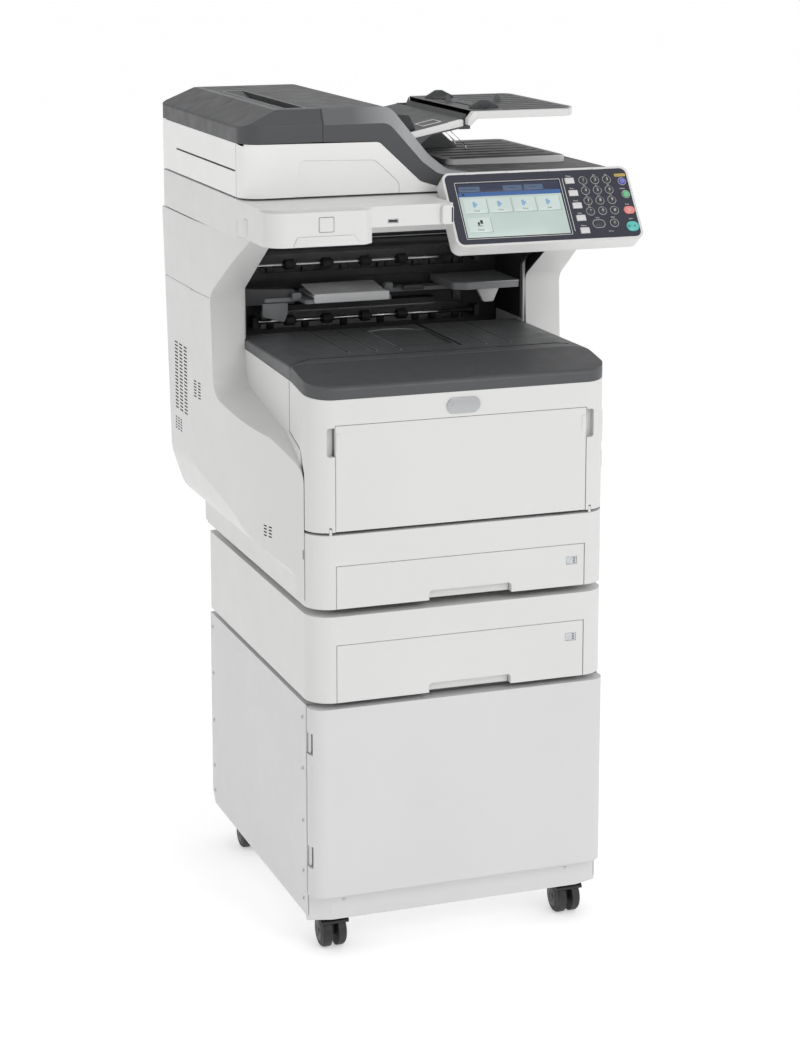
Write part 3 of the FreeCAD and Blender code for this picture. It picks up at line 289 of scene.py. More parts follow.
LCD = lit("screen", srgb(34, 42, 66), 0.4)
KEY_WHITE = moulded("key_white", srgb(214, 212, 214), rough=0.35, edge=0.7, wear=0.2)
KEY_GREY = moulded("key_grey", srgb(52, 52, 60), rough=0.32, edge=0.7, wear=0.1)
KEY_BLUE, KEY_GREEN, KEY_RED, KEY_TEAL = (
    moulded("key_" + name, srgb(*tint), rough=0.25, edge=0.7, coat=0.3)
    for name, tint in (("blue", (86, 84, 190)), ("green", (104, 190, 140)),
                       ("red", (232, 138, 136)), ("teal", (94, 196, 190))))
ENGINE = moulded("engine_plastic", srgb(58, 60, 64), rough=0.45, grain=0.4)
INK = moulded("print_light", srgb(226, 226, 222), rough=0.4, grain=0.15, edge=0.2, wear=0.0)
DARK_INK = moulded("print_dark", srgb(54, 56, 60), rough=0.45, grain=0.15, edge=0.2, wear=0.0)
SEAM = moulded("seam_shadow", srgb(104, 105, 107), rough=0.7, grain=0.2, edge=0.2, wear=0.0)
SLOT_DARK = moulded("slot_dark", srgb(30, 31, 32), rough=0.7, grain=0.3, edge=0.2, wear=0.0)

SLOT_FINISH = {
    "white_cover": WHITE, "cabinet_paint": PAINT, "dark_cover": DARK, "dark_inner": INNER, "grey_inner": GREY,
    "clear_flap": FLAP, "steel": STEEL, "roller_rubber": TYRE, "castor_plastic": BLACK, "castor_tread": TREAD,
    "platen": GLASS, "pad_white": PAD, "screen": LCD, "key_white": KEY_WHITE, "key_grey": KEY_GREY,
    "key_blue": KEY_BLUE, "key_green": KEY_GREEN, "key_red": KEY_RED, "key_teal": KEY_TEAL, "engine": ENGINE,
}
# The feeder base's brighter white is painted light, and the output tray's lighter dark grey is painted sheen
NODE_FINISH = {"adf_base": FEEDER_WHITE_LIT, "output_tray": TRAY_DARK_SHEEN, "adf_feed_cover": FEEDER_DARK,
               "adf_deck": FEEDER_DARK}
for part in frame["record"]["subparts"]:
    finishes = NODES[part["node"]].data.materials
    finishes.clear()
    finishes.append(NODE_FINISH.get(part["node"], SLOT_FINISH[part["material_slot"]]))


# ---- mesh helpers ----
def rounded(corners, steps=5):
    """Outline through (u, v, radius) corners, with the round ones drawn as arcs."""
    points = []
    count = len(corners)
    for i, corner in enumerate(corners):
        here = Vector(corner[:2])
        radius = corner[2] if len(corner) > 2 else 0.0
        if radius <= 0:
            points.append(here)
            continue
        back = (Vector(corners[i - 1][:2]) - here).normalized()
        ahead = (Vector(corners[(i + 1) % count][:2]) - here).normalized()
        half = back.angle(ahead) / 2
        centre = here + (back + ahead).normalized() * (radius / math.sin(half))
        first = here + back * (radius / math.tan(half)) - centre
        last = here + ahead * (radius / math.tan(half)) - centre
        for k in range(steps + 1):
            points.append(centre + first.slerp(last, k / steps).normalized() * radius)
    return points


def rectangle(x0, x1, y0, y1, radius=1.0):
    return [(x0, y0, radius), (x1, y0, radius), (x1, y1, radius), (x0, y1, radius)]


def strip(x, half, y0, y1, radius):
    """Rectangle of a given half width about a middle x."""
    return rectangle(x - half, x + half, y0, y1, radius)


def middled(x, half_x, y, half_y, radius):
    """Rectangle about a middle point."""
    return rectangle(x - half_x, x + half_x, y - half_y, y + half_y, radius)


def circle(x, y, radius, steps=24):
    return [Vector((x + radius * math.cos(a), y + radius * math.sin(a)))
            for a in (2 * math.pi * k / steps for k in range(steps))]


def offset(outline, distance):
    """The outline moved inwards by a distance, corner by corner."""
    count = len(outline)
    area = sum(outline[i - 1].cross(outline[i]) for i in range(count))
    turn = 1 if area > 0 else -1
    moved = []
    for i, p in enumerate(outline):
        a = p - outline[i - 1]
        b = outline[(i + 1) % count] - p
        a = a.normalized() if a.length > 1e-6 else b.normalized()
        b = b.normalized() if b.length > 1e-6 else a
        inward = Vector((-(a + b).y, (a + b).x)).normalized() * turn
        lean = max(0.4, inward.dot(Vector((-a.y, a.x)) * turn))
        moved.append(p + inward * (distance / lean))
    return moved


def as_outline(shape):
    return shape if isinstance(shape[0], Vector) else rounded(shape)


def loop(bm, outline, height, place):
    return [bm.verts.new(place(p.x, p.y, height)) for p in outline]


def bridge(bm, first, second):
    for i in range(len(first)):
        bm.faces.new((first[i - 1], first[i], second[i], second[i - 1]))


def plate(bm, shape, low, high, place, edge=0.3):
    """Solid plate with rounded rims, from an outline and two heights."""
    outline = as_outline(shape)
    rings = [(edge, low), (0.0, low + edge), (0.0, high - edge), (0.3 * edge, high - 0.3 * edge),
             (edge, high)]
    loops = [loop(bm, offset(outline, inset), height, place) for inset, height in rings]
    for first, second in zip(loops, loops[1:]):
        bridge(bm, first, second)
    bm.faces.new(loops[0])
    bm.faces.new(loops[-1])


def ring(bm, outer, inner, low, high, place, edge=0.2):
    """Flat frame between two outlines with the same number of points."""
    outer = as_outline(outer)
    inner = as_outline(inner)
    rings = [(outer, low), (outer, high - edge), (offset(outer, edge), high),
             (offset(inner, -edge), high), (inner, high - edge), (inner, low)]
    loops = [loop(bm, outline, height, place) for outline, height in rings]
    for first, second in zip(loops, loops[1:] + loops[:1]):
        bridge(bm, first, second)


def turned(bm, profile, centre, axis, steps=32):
    """Solid of revolution: (radius, distance along the axis) points about an axis."""
    axis = Vector(axis).normalized()
    side = axis.orthogonal().normalized()
    other = axis.cross(side)
    loops = []
    turns = [2 * math.pi * k / steps for k in range(steps)]
    for radius, along in profile:
        spokes = [(side * math.cos(a) + other * math.sin(a)) * radius for a in turns]
        loops.append([bm.verts.new(centre + (axis * along + spoke) * MM) for spoke in spokes])
    for first, second in zip(loops, loops[1:]):
        bridge(bm, first, second)
    bm.faces.new(loops[0])
    bm.faces.new(loops[-1])


def tube(bm, points, radius, sides=10):
    """Round wire along a list of points in metres."""
    loops = []
    for i, p in enumerate(points):
        ahead = points[min(i + 1, len(points) - 1)] - points[max(i - 1, 0)]
        side = ahead.orthogonal().normalized()
        other = ahead.normalized().cross(side)
        loops.append([bm.verts.new(p + (side * math.cos(a) + other * math.sin(a)) * radius * MM)
                      for a in (2 * math.pi * k / sides for k in range(sides))])
    for first, second in zip(loops, loops[1:]):
        bridge(bm, first, second)
    bm.faces.new(loops[0])
    bm.faces.new(loops[-1])


def riding_mesh(name, bm, finish, body):
    """Turn a bmesh into a piece with one finish that rides on a body."""
    mesh = bpy.data.meshes.new(name)
    bm.to_mesh(mesh)
    bm.free()
    mesh.materials.append(finish)
    made = bpy.data.objects.new(name, mesh)
    bpy.context.scene.collection.objects.link(made)
    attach(made, body)
    return made


def piece(name, finish, body, crease=40):
    """Decorator: the function below it fills a bmesh, which becomes a piece on a body."""
    def build(fill):
        bm = bmesh.new()
        fill(bm)
        bmesh.ops.recalc_face_normals(bm, faces=bm.faces)
        made = riding_mesh(name, bm, finish, body)
        made.data.shade_smooth()
        made.data.set_sharp_from_angle(angle=math.radians(crease))
    return build


def plates(name, finish, body, slot, *shapes):
    """A piece made of plates, each given as (outline, low, high, place, edge)."""
    @piece(name, finish, body)
    def _(bm):
        for shape in shapes:
            plate(bm, *shape)


def lettering(name, words, finish, body, place, height=0.12):
    """Small printed words: (text, size, u, v) entries laid out on a surface."""
    bm = bmesh.new()
    for text, size, u, v in words:
        curve = bpy.data.curves.new(name, "FONT")
        curve.body = text
        curve.size = size
        curve.align_x = "CENTER"
        curve.align_y = "CENTER"
        curve.extrude = height / 2
        curve.resolution_u = 3
        helper = bpy.data.objects.new(name + "_text", curve)
        mesh = bpy.data.meshes.new_from_object(helper)
        start = len(bm.verts)
        bm.from_mesh(mesh)
        bm.verts.ensure_lookup_table()
        for vertex in bm.verts[start:]:
            vertex.co = place(u + vertex.co.x, v + vertex.co.y, vertex.co.z + height / 2)
        bpy.data.objects.remove(helper)
        bpy.data.curves.remove(curve)
        bpy.data.meshes.remove(mesh)
    riding_mesh(name, bm, finish, body)


TREES = {}


def surface(node, origin, direction):
    """Local frame where a ray meets a CAD node: place(u, v, w) with v upwards and w outwards."""
    if node not in TREES:
        mesh = NODES[node].data
        TREES[node] = BVHTree.FromPolygons([v.co for v in mesh.vertices], [p.vertices for p in mesh.polygons])
    hit, normal, _, _ = TREES[node].ray_cast(at(*origin), Vector(direction))
    if normal.dot(Vector(direction)) > 0:
        normal = -normal
    side = Vector((0, 0, 1)).cross(normal).normalized()
    up = normal.cross(side).normalized()
    return lambda u, v, w: hit + (side * u + up * v + normal * w) * MM


# ---- operator panel ----


SCREEN = (14.0, 171.0, 13.0, 99.0)
FACE = 0.35               # height of the printed face sheet
KEY_TOP = 1.6
NUMBER_KEYS = [(208.0 + 18.5 * c, 96.0 - 16.6 * r) for r in range(4) for c in range(3)]
FUNCTION_KEYS = [(187.0 + 1.2 * i, 96.0 - 20.0 * i) for i in range(5)]


@piece("panel_bezel", NAVY, "panel")
def _(bm):
    ring(bm, rectangle(-0.5, 277.5, 3.5, 113.5, 9.0), rectangle(*SCREEN, 0.8), 0.02, FACE, on_panel, 0.15)


@piece("panel_trim_line", INK, "panel")
def _(bm):
    plate(bm, rectangle(176.6, 177.4, 16.0, 101.0, 0.35), FACE, FACE + 0.1, on_panel, 0.05)
    ring(bm, rectangle(12.2, 172.8, 11.2, 100.8, 1.6), rectangle(12.9, 172.1, 11.9, 100.1, 1.2), FACE,
         FACE + 0.1, on_panel, 0.05)


def screen_block(name, colour, glow, shapes, level):
    @piece(name, lit(name, colour, glow), "panel")
    def _(bm):
        for x0, x1, v0, v1, radius in shapes:
            plate(bm, rectangle(x0, x1, v0, v1, radius), -0.42 + 0.05 * level, -0.32 + 0.05 * level,
                  on_panel, 0.02)


TILES = [(20.0 + 37.0 * i, 52.0) for i in range(4)] + [(20.0, 22.0)]
screen_block("screen_page", srgb(196, 212, 206), 0.85, [(15, 170, 14, 78, 0.4)], 1)
screen_block("screen_header", srgb(40, 48, 74), 0.8, [(15, 170, 84.5, 98, 0.4)], 1)
screen_block("screen_title", srgb(56, 100, 160), 0.85, [(15, 170, 78, 84.5, 0.2)], 1)
screen_block("screen_tabs", srgb(84, 104, 134), 0.8,
             [(17, 49, 86, 94, 1), (84, 113, 86, 94, 1), (116, 145, 86, 94, 1)], 2)
screen_block("screen_tile_shadow", srgb(140, 158, 156), 0.85,
             [(x + 0.8, x + 34.8, v - 0.8, v + 22.2, 1.6) for x, v in TILES], 2)
screen_block("screen_tile", srgb(206, 220, 215), 0.88, [(x, x + 34, v, v + 22.6, 1.6) for x, v in TILES], 3)
BARS = [(x + 13 + d, v + 9, d) for x, v in TILES[:4] for d in (0, 2.5)]
screen_block("screen_icon_blue", srgb(138, 178, 210), 0.85,
             [(x, x + 4, v + d, v + 9 - d, 0.6) for x, v, d in BARS], 4)
screen_block("screen_icon_dark", srgb(40, 50, 58), 0.6,
             [(34, 37, 33, 38, 0.4), (38, 42, 35, 41, 0.4), (33, 41, 31.4, 32.4, 0.3),
              (20, 24, 80, 83.4, 0.4)], 4)
SCREEN_WORDS = [
    ("Copy", 4.2, 37, 56), ("Scan", 4.2, 74, 56), ("Print", 4.2, 111, 56), ("Jobs", 4.2, 148, 56),
    ("Setup", 4.2, 37, 26), ("Main menu", 4.6, 33, 90), ("Ready", 4.0, 98, 90), ("Paper", 4.0, 130, 90),
]
lettering("screen_words", SCREEN_WORDS, DARK_INK, "panel", lambda u, v, w: on_panel(u, v, w - 0.2), 0.05)


@piece("key_rings", SILVER_AND_HIGHLIGHT, "panel")
def _(bm):
    for x, v in NUMBER_KEYS + [(240.0, 26.0)]:
        ring(bm, circle(x, v, 6.7), circle(x, v, 5.6), FACE - 0.05, 0.75, on_panel, 0.15)
    ring(bm, rounded(rectangle(206.3, 225.7, 19.3, 32.7, 6.4)),
         rounded(rectangle(207.5, 224.5, 20.5, 31.5, 5.3)),
         FACE - 0.05, 0.75, on_panel, 0.15)
    for x, v, reach in ((268.0, 92.0, 5.2), (269.0, 71.0, 5.4)):
        ring(bm, circle(x, v, reach + 1.1), circle(x, v, reach), FACE - 0.05, 0.75, on_panel, 0.15)


def key_caps(name, finish, body, shapes):
    @piece(name, finish, body)
    def _(bm):
        for outline in shapes:
            plate(bm, outline, KEY_TOP - 0.6, KEY_TOP + 0.9, on_panel, 0.7)


key_caps("number_key_caps", KEY_GREY, "numbers",
         [circle(x, v, 5.2) for x, v in NUMBER_KEYS]
         + [circle(240, 26, 4.9), rounded(rectangle(208.2, 223.8, 21.2, 30.8, 4.6))])
key_caps("function_key_caps", KEY_WHITE, "functions", [middled(x, 7, v, 4.5, 2.0) for x, v in FUNCTION_KEYS])
key_caps("power_save_cap", KEY_BLUE, "power_save", [circle(268, 92, 4.8)])
key_caps("reset_cap", KEY_GREEN, "reset", [circle(269, 71, 5.0)])
key_caps("stop_cap", KEY_RED, "stop", [rectangle(259.2, 275.8, 39.2, 50.8, 5.7)])
key_caps("start_cap", KEY_TEAL, "start", [rectangle(257.2, 275.8, 11.6, 26.4, 7.3)])


def above(height):
    return lambda u, v, w: on_panel(u, v, height + w)


CAP = above(KEY_TOP + 0.88)
lettering("number_legends",
          [(t, 6.4, x, v) for t, (x, v) in zip("123456789*0#", NUMBER_KEYS)] + [("C", 5.0, 240, 26)],
          INK, "numbers", CAP)
FUNCTIONS = ("Copy", "Scan", "Print", "Jobs", "Menu")
lettering("function_legends", [(t, 3.6, x, v + 8.0) for t, (x, v) in zip(FUNCTIONS, FUNCTION_KEYS)],
          INK, "panel", above(FACE), 0.08)
PANEL_WORDS = [
    ("Help", 3.0, 216, 35.5), ("Clear", 3.0, 240, 35.5), ("Status", 3.0, 232, 13.5),
    ("Reset", 3.2, 266, 80.5), ("Stop", 3.2, 267, 55), ("Start", 3.2, 267, 31.5),
]
lettering("panel_legends", [("Abc", 2.6, x, v + 8.2) for x, v in NUMBER_KEYS[1:10]] + PANEL_WORDS,
          INK, "panel", above(FACE), 0.08)

plates("power_save_label", moulded("label_yellow", srgb(206, 180, 96), rough=0.4, edge=0.3), "panel", None,
       (rectangle(258.5, 275.5, 100.0, 104.6, 1.2), FACE, FACE + 0.15, on_panel, 0.06))

lettering("power_save_words", [("Power save", 3.0, 267, 102.3)], DARK_INK, "panel", above(FACE + 0.15), 0.06)
lettering("power_save_mark", [("I", 4.0, 268, 93)], INK, "power_save", CAP)
lettering("reset_mark", [("//", 4.4, 269, 71)], INK, "reset", CAP)


@piece("power_save_arc", INK, "power_save")
def _(bm):
    turn = [math.radians(120 + 300 * k / 16) for k in range(17)]
    tube(bm, [CAP(268 + 2.6 * math.cos(a), 92 + 2.6 * math.sin(a), 0) for a in turn], 0.28, 6)


@piece("stop_mark", INK, "stop")
def _(bm):
    ring(bm, circle(267.5, 45, 3.0, 3), circle(267.5, 45, 2.1, 3), 0, 0.1, CAP, 0.03)


@piece("start_mark", DARK_INK, "start")
def _(bm):
    ring(bm, circle(260.6, 19, 1.8, 16), circle(260.6, 19, 1.0, 16), 0, 0.1, CAP, 0.03)
    plate(bm, circle(269, 19, 1.5, 4), 0, 0.1, CAP, 0.02)


@piece("panel_clips", WHITE, "panel")
def _(bm):
    for x in (40.0, 104.0, 168.0, 236.0):
        plate(bm, strip(x, 9, 113.2, 116.4, 1.0), -0.2, 0.7, on_panel, 0.3)
        plate(bm, strip(x, 9, 0.6, 3.0, 0.8), -0.2, 0.6, on_panel, 0.3)
    for slope in (34.0, 82.0):
        plate(bm, rectangle(-3.4, -1.0, slope - 7, slope + 7, 0.8), -0.2, 0.6, on_panel, 0.25)


@piece("panel_underside_ribs", WHITE, "panel")
def _(bm):
    for x in (70.0, 90.0, 110.0, 130.0, 150.0, 170.0, 190.0):
        plate(bm, strip(x, 1.2, 14, 78, 1.0), -28.0, -25.5, on_panel, 0.5)


# ---- document feeder ----


FEEDER_TOP = 1200.0
FEEDER_FRONT = 118.0
CREST = [(-163.0, 1200.0), (-62.0, 1200.0, 26), (-4.0, 1130.0, 30), (24.0, 1108.0, 30), (60.0, 1102.5, 10),
         (281.0, 1100.0)]
BROW = [(-163.0, 1178.0), (-68.0, 1178.0, 22), (-18.0, 1122.0, 30), (6.0, 1104.0, 26), (48.0, 1097.0, 10),
        (281.0, 1096.0)]


def walk(corners, count):
    """Evenly spaced points along an open line with rounded corners."""
    line = rounded(corners, 8)
    lengths = [0.0]
    for a, b in zip(line, line[1:]):
        lengths.append(lengths[-1] + (b - a).length)
    points = []
    for k in range(count):
        want = lengths[-1] * k / (count - 1)
        i = max(j for j in range(len(line) - 1) if lengths[j] <= want + 1e-9)
        share = (want - lengths[i]) / max(lengths[i + 1] - lengths[i], 1e-9)
        points.append(line[i].lerp(line[i + 1], share))
    return points


BAND = moulded("edge_band", srgb(98, 99, 101), rough=0.34, wear=0.08, dust=0.03,
               fade=(-120.0, -40.0, srgb(176, 177, 179)))


@piece("feeder_edge_band", BAND, "adf", 30)
def _(bm):
    brow = walk(BROW, 120)
    crest = walk(CREST, 120)
    rows = []
    for low, high in zip(brow, crest):
        across = (high - low).normalized() if (high - low).length > 1e-6 else Vector((0, 1))
        up = Vector((max(across.x, 0.0), max(across.y, 0.3))).normalized()
        rows.append([
            bm.verts.new(at(low.x, FEEDER_FRONT + 1.0, low.y - 0.4)),
            bm.verts.new(at(low.x + up.x * 0.4, FEEDER_FRONT - 0.35, low.y + up.y * 0.2)),
            bm.verts.new(at(high.x + up.x * 0.5, FEEDER_FRONT + 12.6, high.y + up.y * 0.5)),
            bm.verts.new(at(high.x + up.x * 0.3, FEEDER_FRONT + 14.4, high.y + up.y * 0.35)),
            bm.verts.new(at(high.x - up.x * 0.8, FEEDER_FRONT + 14.4, high.y - up.y * 1.2)),
        ])
    for a, b in zip(rows, rows[1:]):
        for i in range(5):
            bm.faces.new((a[i - 1], a[i], b[i], b[i - 1]))
    bm.faces.new(rows[0])
    bm.faces.new(rows[-1])


@piece("feeder_ridge_lines", SILVER_AND_HIGHLIGHT, "feed_cover")
def _(bm):
    for x in (-229.2, -224.4):
        plate(bm, strip(x, 0.5, 134, 544, 0.4), -0.3, 0.3, facing_up(FEEDER_TOP), 0.15)


@piece("feeder_finger_ramps", DARK, "feed_cover")
def _(bm):
    for end, foot in ((150.4, 232.0), (455.6, 408.0)):
        ramp = [Vector(p) for p in ((end, 1192.1), (foot, 1192.1), (end, 1199.6))]
        plate(bm, ramp, 0, 29.2, facing_right(-210.6), 0.05)


@piece("feeder_finger_rim", SILVER_AND_HIGHLIGHT, "feed_cover")
def _(bm):
    ring(bm, rectangle(-212.4, -179.6, 148.6, 457.4, 3.6), rectangle(-211.2, -180.8, 149.8, 456.2, 2.8),
         -0.4, 0.25, facing_up(FEEDER_TOP), 0.15)


plates("feeder_seams", SEAM, "adf", None,
       (rectangle(150.0, 150.7, 1080, 1153.5, 0.3), -0.3, 0.12, facing_left(-HEAD), 0.05))
plates("feeder_cover_seam", SLOT_DARK, "feed_cover", None,
       (rectangle(528.0, 528.8, 1155.5, 1176, 0.3), -0.3, 0.12, facing_left(-HEAD), 0.05))
plates("feeder_side_slot", SLOT_DARK, "adf", None,
       (rectangle(155.6, 468.4, 1114.2, 1116.3, 0.9), -1.4, 0.12, facing_left(-HEAD), 0.1))
plates("hopper_rim", WHITE, "adf", "white_cover",
       ([(-40, 1151.0, 1.5), (44, 1167.5, 1.5), (49.5, 1168.5, 2), (49.5, 1178.2, 3), (44, 1177.8, 1),
         (-43, 1159.8, 1.5)], 0, 6.0, facing_front(137.0), 0.8))
plates("tray_step_rim", WHITE, "doc_tray", "white_cover",
       ([(51.5, 1170.5, 2), (57, 1170.5, 3), (67, 1180.4, 3), (74, 1180.4, 1), (74, 1189.8, 1),
         (60, 1189.8, 4), (51.5, 1179.5, 4)], 0, 12.0, facing_front(130.4), 0.8))


@piece("hopper_pocket", INK, "adf")
def _(bm):
    lean = math.atan2(18.0, 92.0)

    def lying(u, v, w):
        return at(-6 + u * math.cos(lean), 150 + v, 1168.3 + u * math.sin(lean) + w)
    ring(bm, rectangle(0, 30, 0, 34, 2.5), rectangle(1.4, 28.6, 1.4, 32.6, 1.6), -0.4, 0.7, lying, 0.25)


plates("hopper_feed_mouth", INNER, "adf", "dark_inner",
       ([(-58, 1150, 2), (-44, 1160.4, 2), (-20, 1165, 2), (-30, 1186, 6), (-50, 1187, 4)], 0, 262,
        facing_rear(138.0), 1.0))


@piece("deck_rim", WHITE, "adf")
def _(bm):
    outline = rectangle(61.6, 252.4, 228.6, 485.4, 12.2)
    ring(bm, outline, rectangle(64.6, 249.4, 231.6, 482.4, 9.6), 1100.6 - DECK_TOP, 0.3,
         facing_up(DECK_TOP), 0.6)


plates("deck_rear_web", GREY, "adf", "grey_inner",
       ([(-30, 1104, 2), (150, 1104, 4), (98, 1150, 6), (62, 1163, 5), (40, 1163, 2), (-10, 1130, 3)], 0,
        5.0, facing_front(400.0), 1.0))


@piece("document_stops", SPRING, "adf")
def _(bm):
    for x, reach, y in ((34.0, 26.0, 196.0), (40.0, 34.0, 188.0)):
        path = [at(x, y, 1166), at(x + 5, y, 1163), at(x + reach, y, 1163 - 0.82 * reach),
                at(x + reach + 2, y, 1158 - 0.82 * reach)]
        tube(bm, path, 1.1)


@piece("deck_ribs", DARK, "adf")
def _(bm):
    for i in range(7):
        y = 250.0 + 34.0 * i
        plate(bm, rectangle(74.0, 240.0, y - 1.2, y + 1.2, 1.0), -0.2, 0.9, facing_up(DECK_TOP), 0.4)


@piece("document_tray_rim", WHITE, "doc_tray")
def _(bm):
    outer = [(62, 117.6, 6), (206, 117.6, 22), (226.4, 150, 30), (226.4, 394.4, 16), (62, 394.4, 6)]
    inner = [(62.8, 121.4, 6), (205, 121.4, 20), (222.6, 151, 27), (222.6, 390.6, 13), (62.8, 390.6, 6)]
    ring(bm, outer, inner, -10.4, 0.4, facing_up(DOC_TRAY_TOP), 0.9)


@piece("document_tray_tabs", DARK, "doc_tray")
def _(bm):
    for x, y in ((79.5, 272.0), (152.5, 258.0)):
        profile = [(13.0, -0.2), (12.0, 0.8), (5.0, 1.6), (2.2, 10.5), (0.9, 11.6)]
        loops = []
        for half, height in profile:
            loops.append([bm.verts.new(at(x + sx * half, y + sy * half * 0.55, DOC_TRAY_TOP + height))
                          for sx, sy in ((-1, -1), (1, -1), (1, 1), (-1, 1))])
        for first, second in zip(loops, loops[1:]):
            bridge(bm, first, second)
        bm.faces.new(loops[0])
        bm.faces.new(loops[-1])


@piece("document_tray_ribs", DARK, "doc_tray")
def _(bm):
    for i in range(9):
        y = 136.0 + 30.0 * i
        plate(bm, rectangle(112.0, 214.0, y - 0.9, y + 0.9, 0.8), -0.2, 0.6, facing_up(DOC_TRAY_TOP), 0.25)


for guide, y, outward in (("front_guide", 168.0, -1.0), ("rear_guide", 344.0, 1.0)):
    @piece(guide + "_grip", DARK, guide)
    def _(bm):
        for i in range(5):
            x = 86.0 + 4.0 * i
            plate(bm, strip(x, 0.8, 1191.8, 1196.6, 0.6), 0.0, 0.7,
                  lambda u, v, w: at(u, y + outward * (4.0 + w), v), 0.3)

# ---- scanner ----


@piece("usb_socket", STEEL, "scanner")
def _(bm):
    ring(bm, rectangle(-106.6, -92.4, 1052.4, 1057.1, 0.8), rectangle(-105.8, -93.2, 1053.2, 1056.3, 0.4),
         -6.0, -0.2, facing_front(SCANNER_FACE), 0.2)


plates("usb_tongue", BLACK, "scanner", None,
       (rectangle(-104.6, -94.4, 1054.9, 1056.0, 0.2), -5.5, -1.0, facing_front(SCANNER_FACE), 0.1))


@piece("scanner_button_frame", SEAM, "scanner")
def _(bm):
    ring(bm, rectangle(-210, -188, 1045, 1066, 2.0), rectangle(-209.3, -188.7, 1045.7, 1065.3, 1.6), -0.3,
         0.12, facing_front(GRIP_FACE), 0.05)


plates("scanner_button", WHITE, "scanner", "white_cover",
       (rectangle(-209.2, -188.8, 1045.8, 1065.2, 1.6), -0.5, 0.5, facing_front(GRIP_FACE), 0.5))
plates("scanner_grip_lip", WHITE, "scanner", "white_cover",
       ([(-240, 1040, 3), (-159, 1040, 3), (-151, 1026.4, 2), (-247, 1026.4, 2)], -0.4, 1.0,
        facing_front(GRIP_FACE), 0.9))
plates("scanner_side_latch", WHITE, "scanner", "white_cover",
       (rectangle(98, 114, 1030, 1054, 3.0), -1.0, 0.9, facing_left(-HEAD), 0.7))
plates("panel_bracket", WHITE, "scanner", "white_cover",
       (rectangle(-30.0, -13.0, 1047.4, 1074.0, 4.0), -0.5, 7.0, facing_front(SCANNER_FACE), 1.6))
plates("panel_bracket_slot", SLOT_DARK, "scanner", None,
       (rectangle(-16.6, -14.4, 1050.0, 1071.0, 1.0), 6.4, 7.15, facing_front(SCANNER_FACE), 0.2))
plates("platen_scales", WHITE, "scanner", "white_cover",
       (rectangle(-250, -241, 158, 467, 1.5), -0.2, 0.6, facing_up(GLASS_TOP), 0.2),
       (rectangle(-240, 190, 466, 476, 1.5), -0.2, 0.6, facing_up(GLASS_TOP), 0.2))


@piece("platen_ticks", DARK_INK, "scanner")
def _(bm):
    for i in range(30):
        reach = 4.0 if i % 5 == 0 else 2.2
        plate(bm, rectangle(-241.6 - reach, -241.6, 164.8 + 10 * i, 165.2 + 10 * i, 0.1), 0.58, 0.66,
              facing_up(GLASS_TOP), 0.02)
    for i in range(42):
        reach = 4.0 if i % 5 == 0 else 2.2
        plate(bm, rectangle(-235.2 + 10 * i, -234.8 + 10 * i, 466.6, 466.6 + reach, 0.1), 0.58, 0.66,
              facing_up(GLASS_TOP), 0.02)


# ---- output bay ----


BAY_WALL = 426.0


@piece("bay_guides", BLACK, "body")
def _(bm):
    for height in (LOWER_SHAFT, UPPER_SHAFT):
        for x in (-152, -96, -34, 26, 84, 112, 150):
            plate(bm, [(x - 5, height - 13, 1), (x + 5, height - 13, 1), (x + 5, height - 1, 3),
                       (x - 5, height - 1, 3)], 0, 9,
                  facing_front(BAY_WALL), 0.8)


@piece("bay_wall_ribs", INNER, "body")
def _(bm):
    for height in (898.0, 912.0, 958.0, 986.0):
        plate(bm, rectangle(-186, 186, height, height + 1.4, 0.6), 0, 1.4, facing_front(BAY_WALL), 0.4)


plates("bay_crossbar", BLACK, "body", "dark_inner",
       (rectangle(-190, 190, 962, 972, 3), 0, 10, facing_front(BAY_WALL), 1.2))
# Thin light strips along the front edges of the crossbar, the lower bar and the right shelf: painted
# highlights
plates("bay_edge_highlights", SILVER_AND_HIGHLIGHT, "body", "grey_inner",
       (rectangle(-182, 182, 973.2, 974.6, 0.5), 8, 9.4, facing_front(BAY_WALL), 0.3),
       (rectangle(-150, 110, 867.6, 869.0, 0.5), 18, 22.6, facing_front(BAY_WALL), 0.3),
       (rectangle(131, 216, 909.6, 911.2, 0.7), 0, 1.2, facing_front(320.6), 0.3))
plates("bay_left_shelf", DARK, "body", "dark_inner",
       ([(-206, 886, 2), (-128, 886, 2), (-128, 908, 5), (-206, 912, 3)], 0, 30, facing_front(398.0), 1.4),
       (rectangle(-212, -190, 928, 958, 3), 0, 14, facing_front(BAY_WALL), 1.4))
plates("bay_left_stay", GREY, "body", "grey_inner",
       ([(-180, 888, 1), (-140, 888, 1), (-140, 872, 2), (-146, 858, 3), (-180, 868, 3)], 0, 5,
        facing_front(372.0), 0.9))
plates("bay_light_blocks", GREY, "body", "grey_inner",
       ([(20, 893, 1), (34, 893, 1), (34, 907, 3), (24, 907, 2), (20, 903, 1)], 0, 12, facing_front(396.0),
        1.0),
       (rectangle(-136, -122, 893, 904, 2), 0, 8, facing_front(364.0), 1.0))
plates("bay_dark_block", DARK, "body", "dark_inner",
       (rectangle(52, 86, 893, 901, 2), 0, 10, facing_front(396.0), 1.0))
plates("bay_right_bracket", WHITE, "body", "white_cover",
       ([(150, 901, 1), (188, 901, 1), (178, 878, 4), (162, 878, 4)], 0, 8, facing_front(338.0), 1.2))
plates("bay_right_clip", BLACK, "body", "dark_inner",
       (rectangle(116, 128, 880, 901, 3), 0, 8, facing_front(350.0), 1.0))

FLAP_LIP = moulded("flap_lip", srgb(244, 245, 246), rough=0.16, grain=0.1, edge=0.5)


plates("flap_lip", FLAP_LIP, "stop_flap", "clear_flap",
       (rectangle(-110.6, 8.6, 891.0, 904.5, 3.0), 0, 2.4, facing_front(331.6), 0.8))


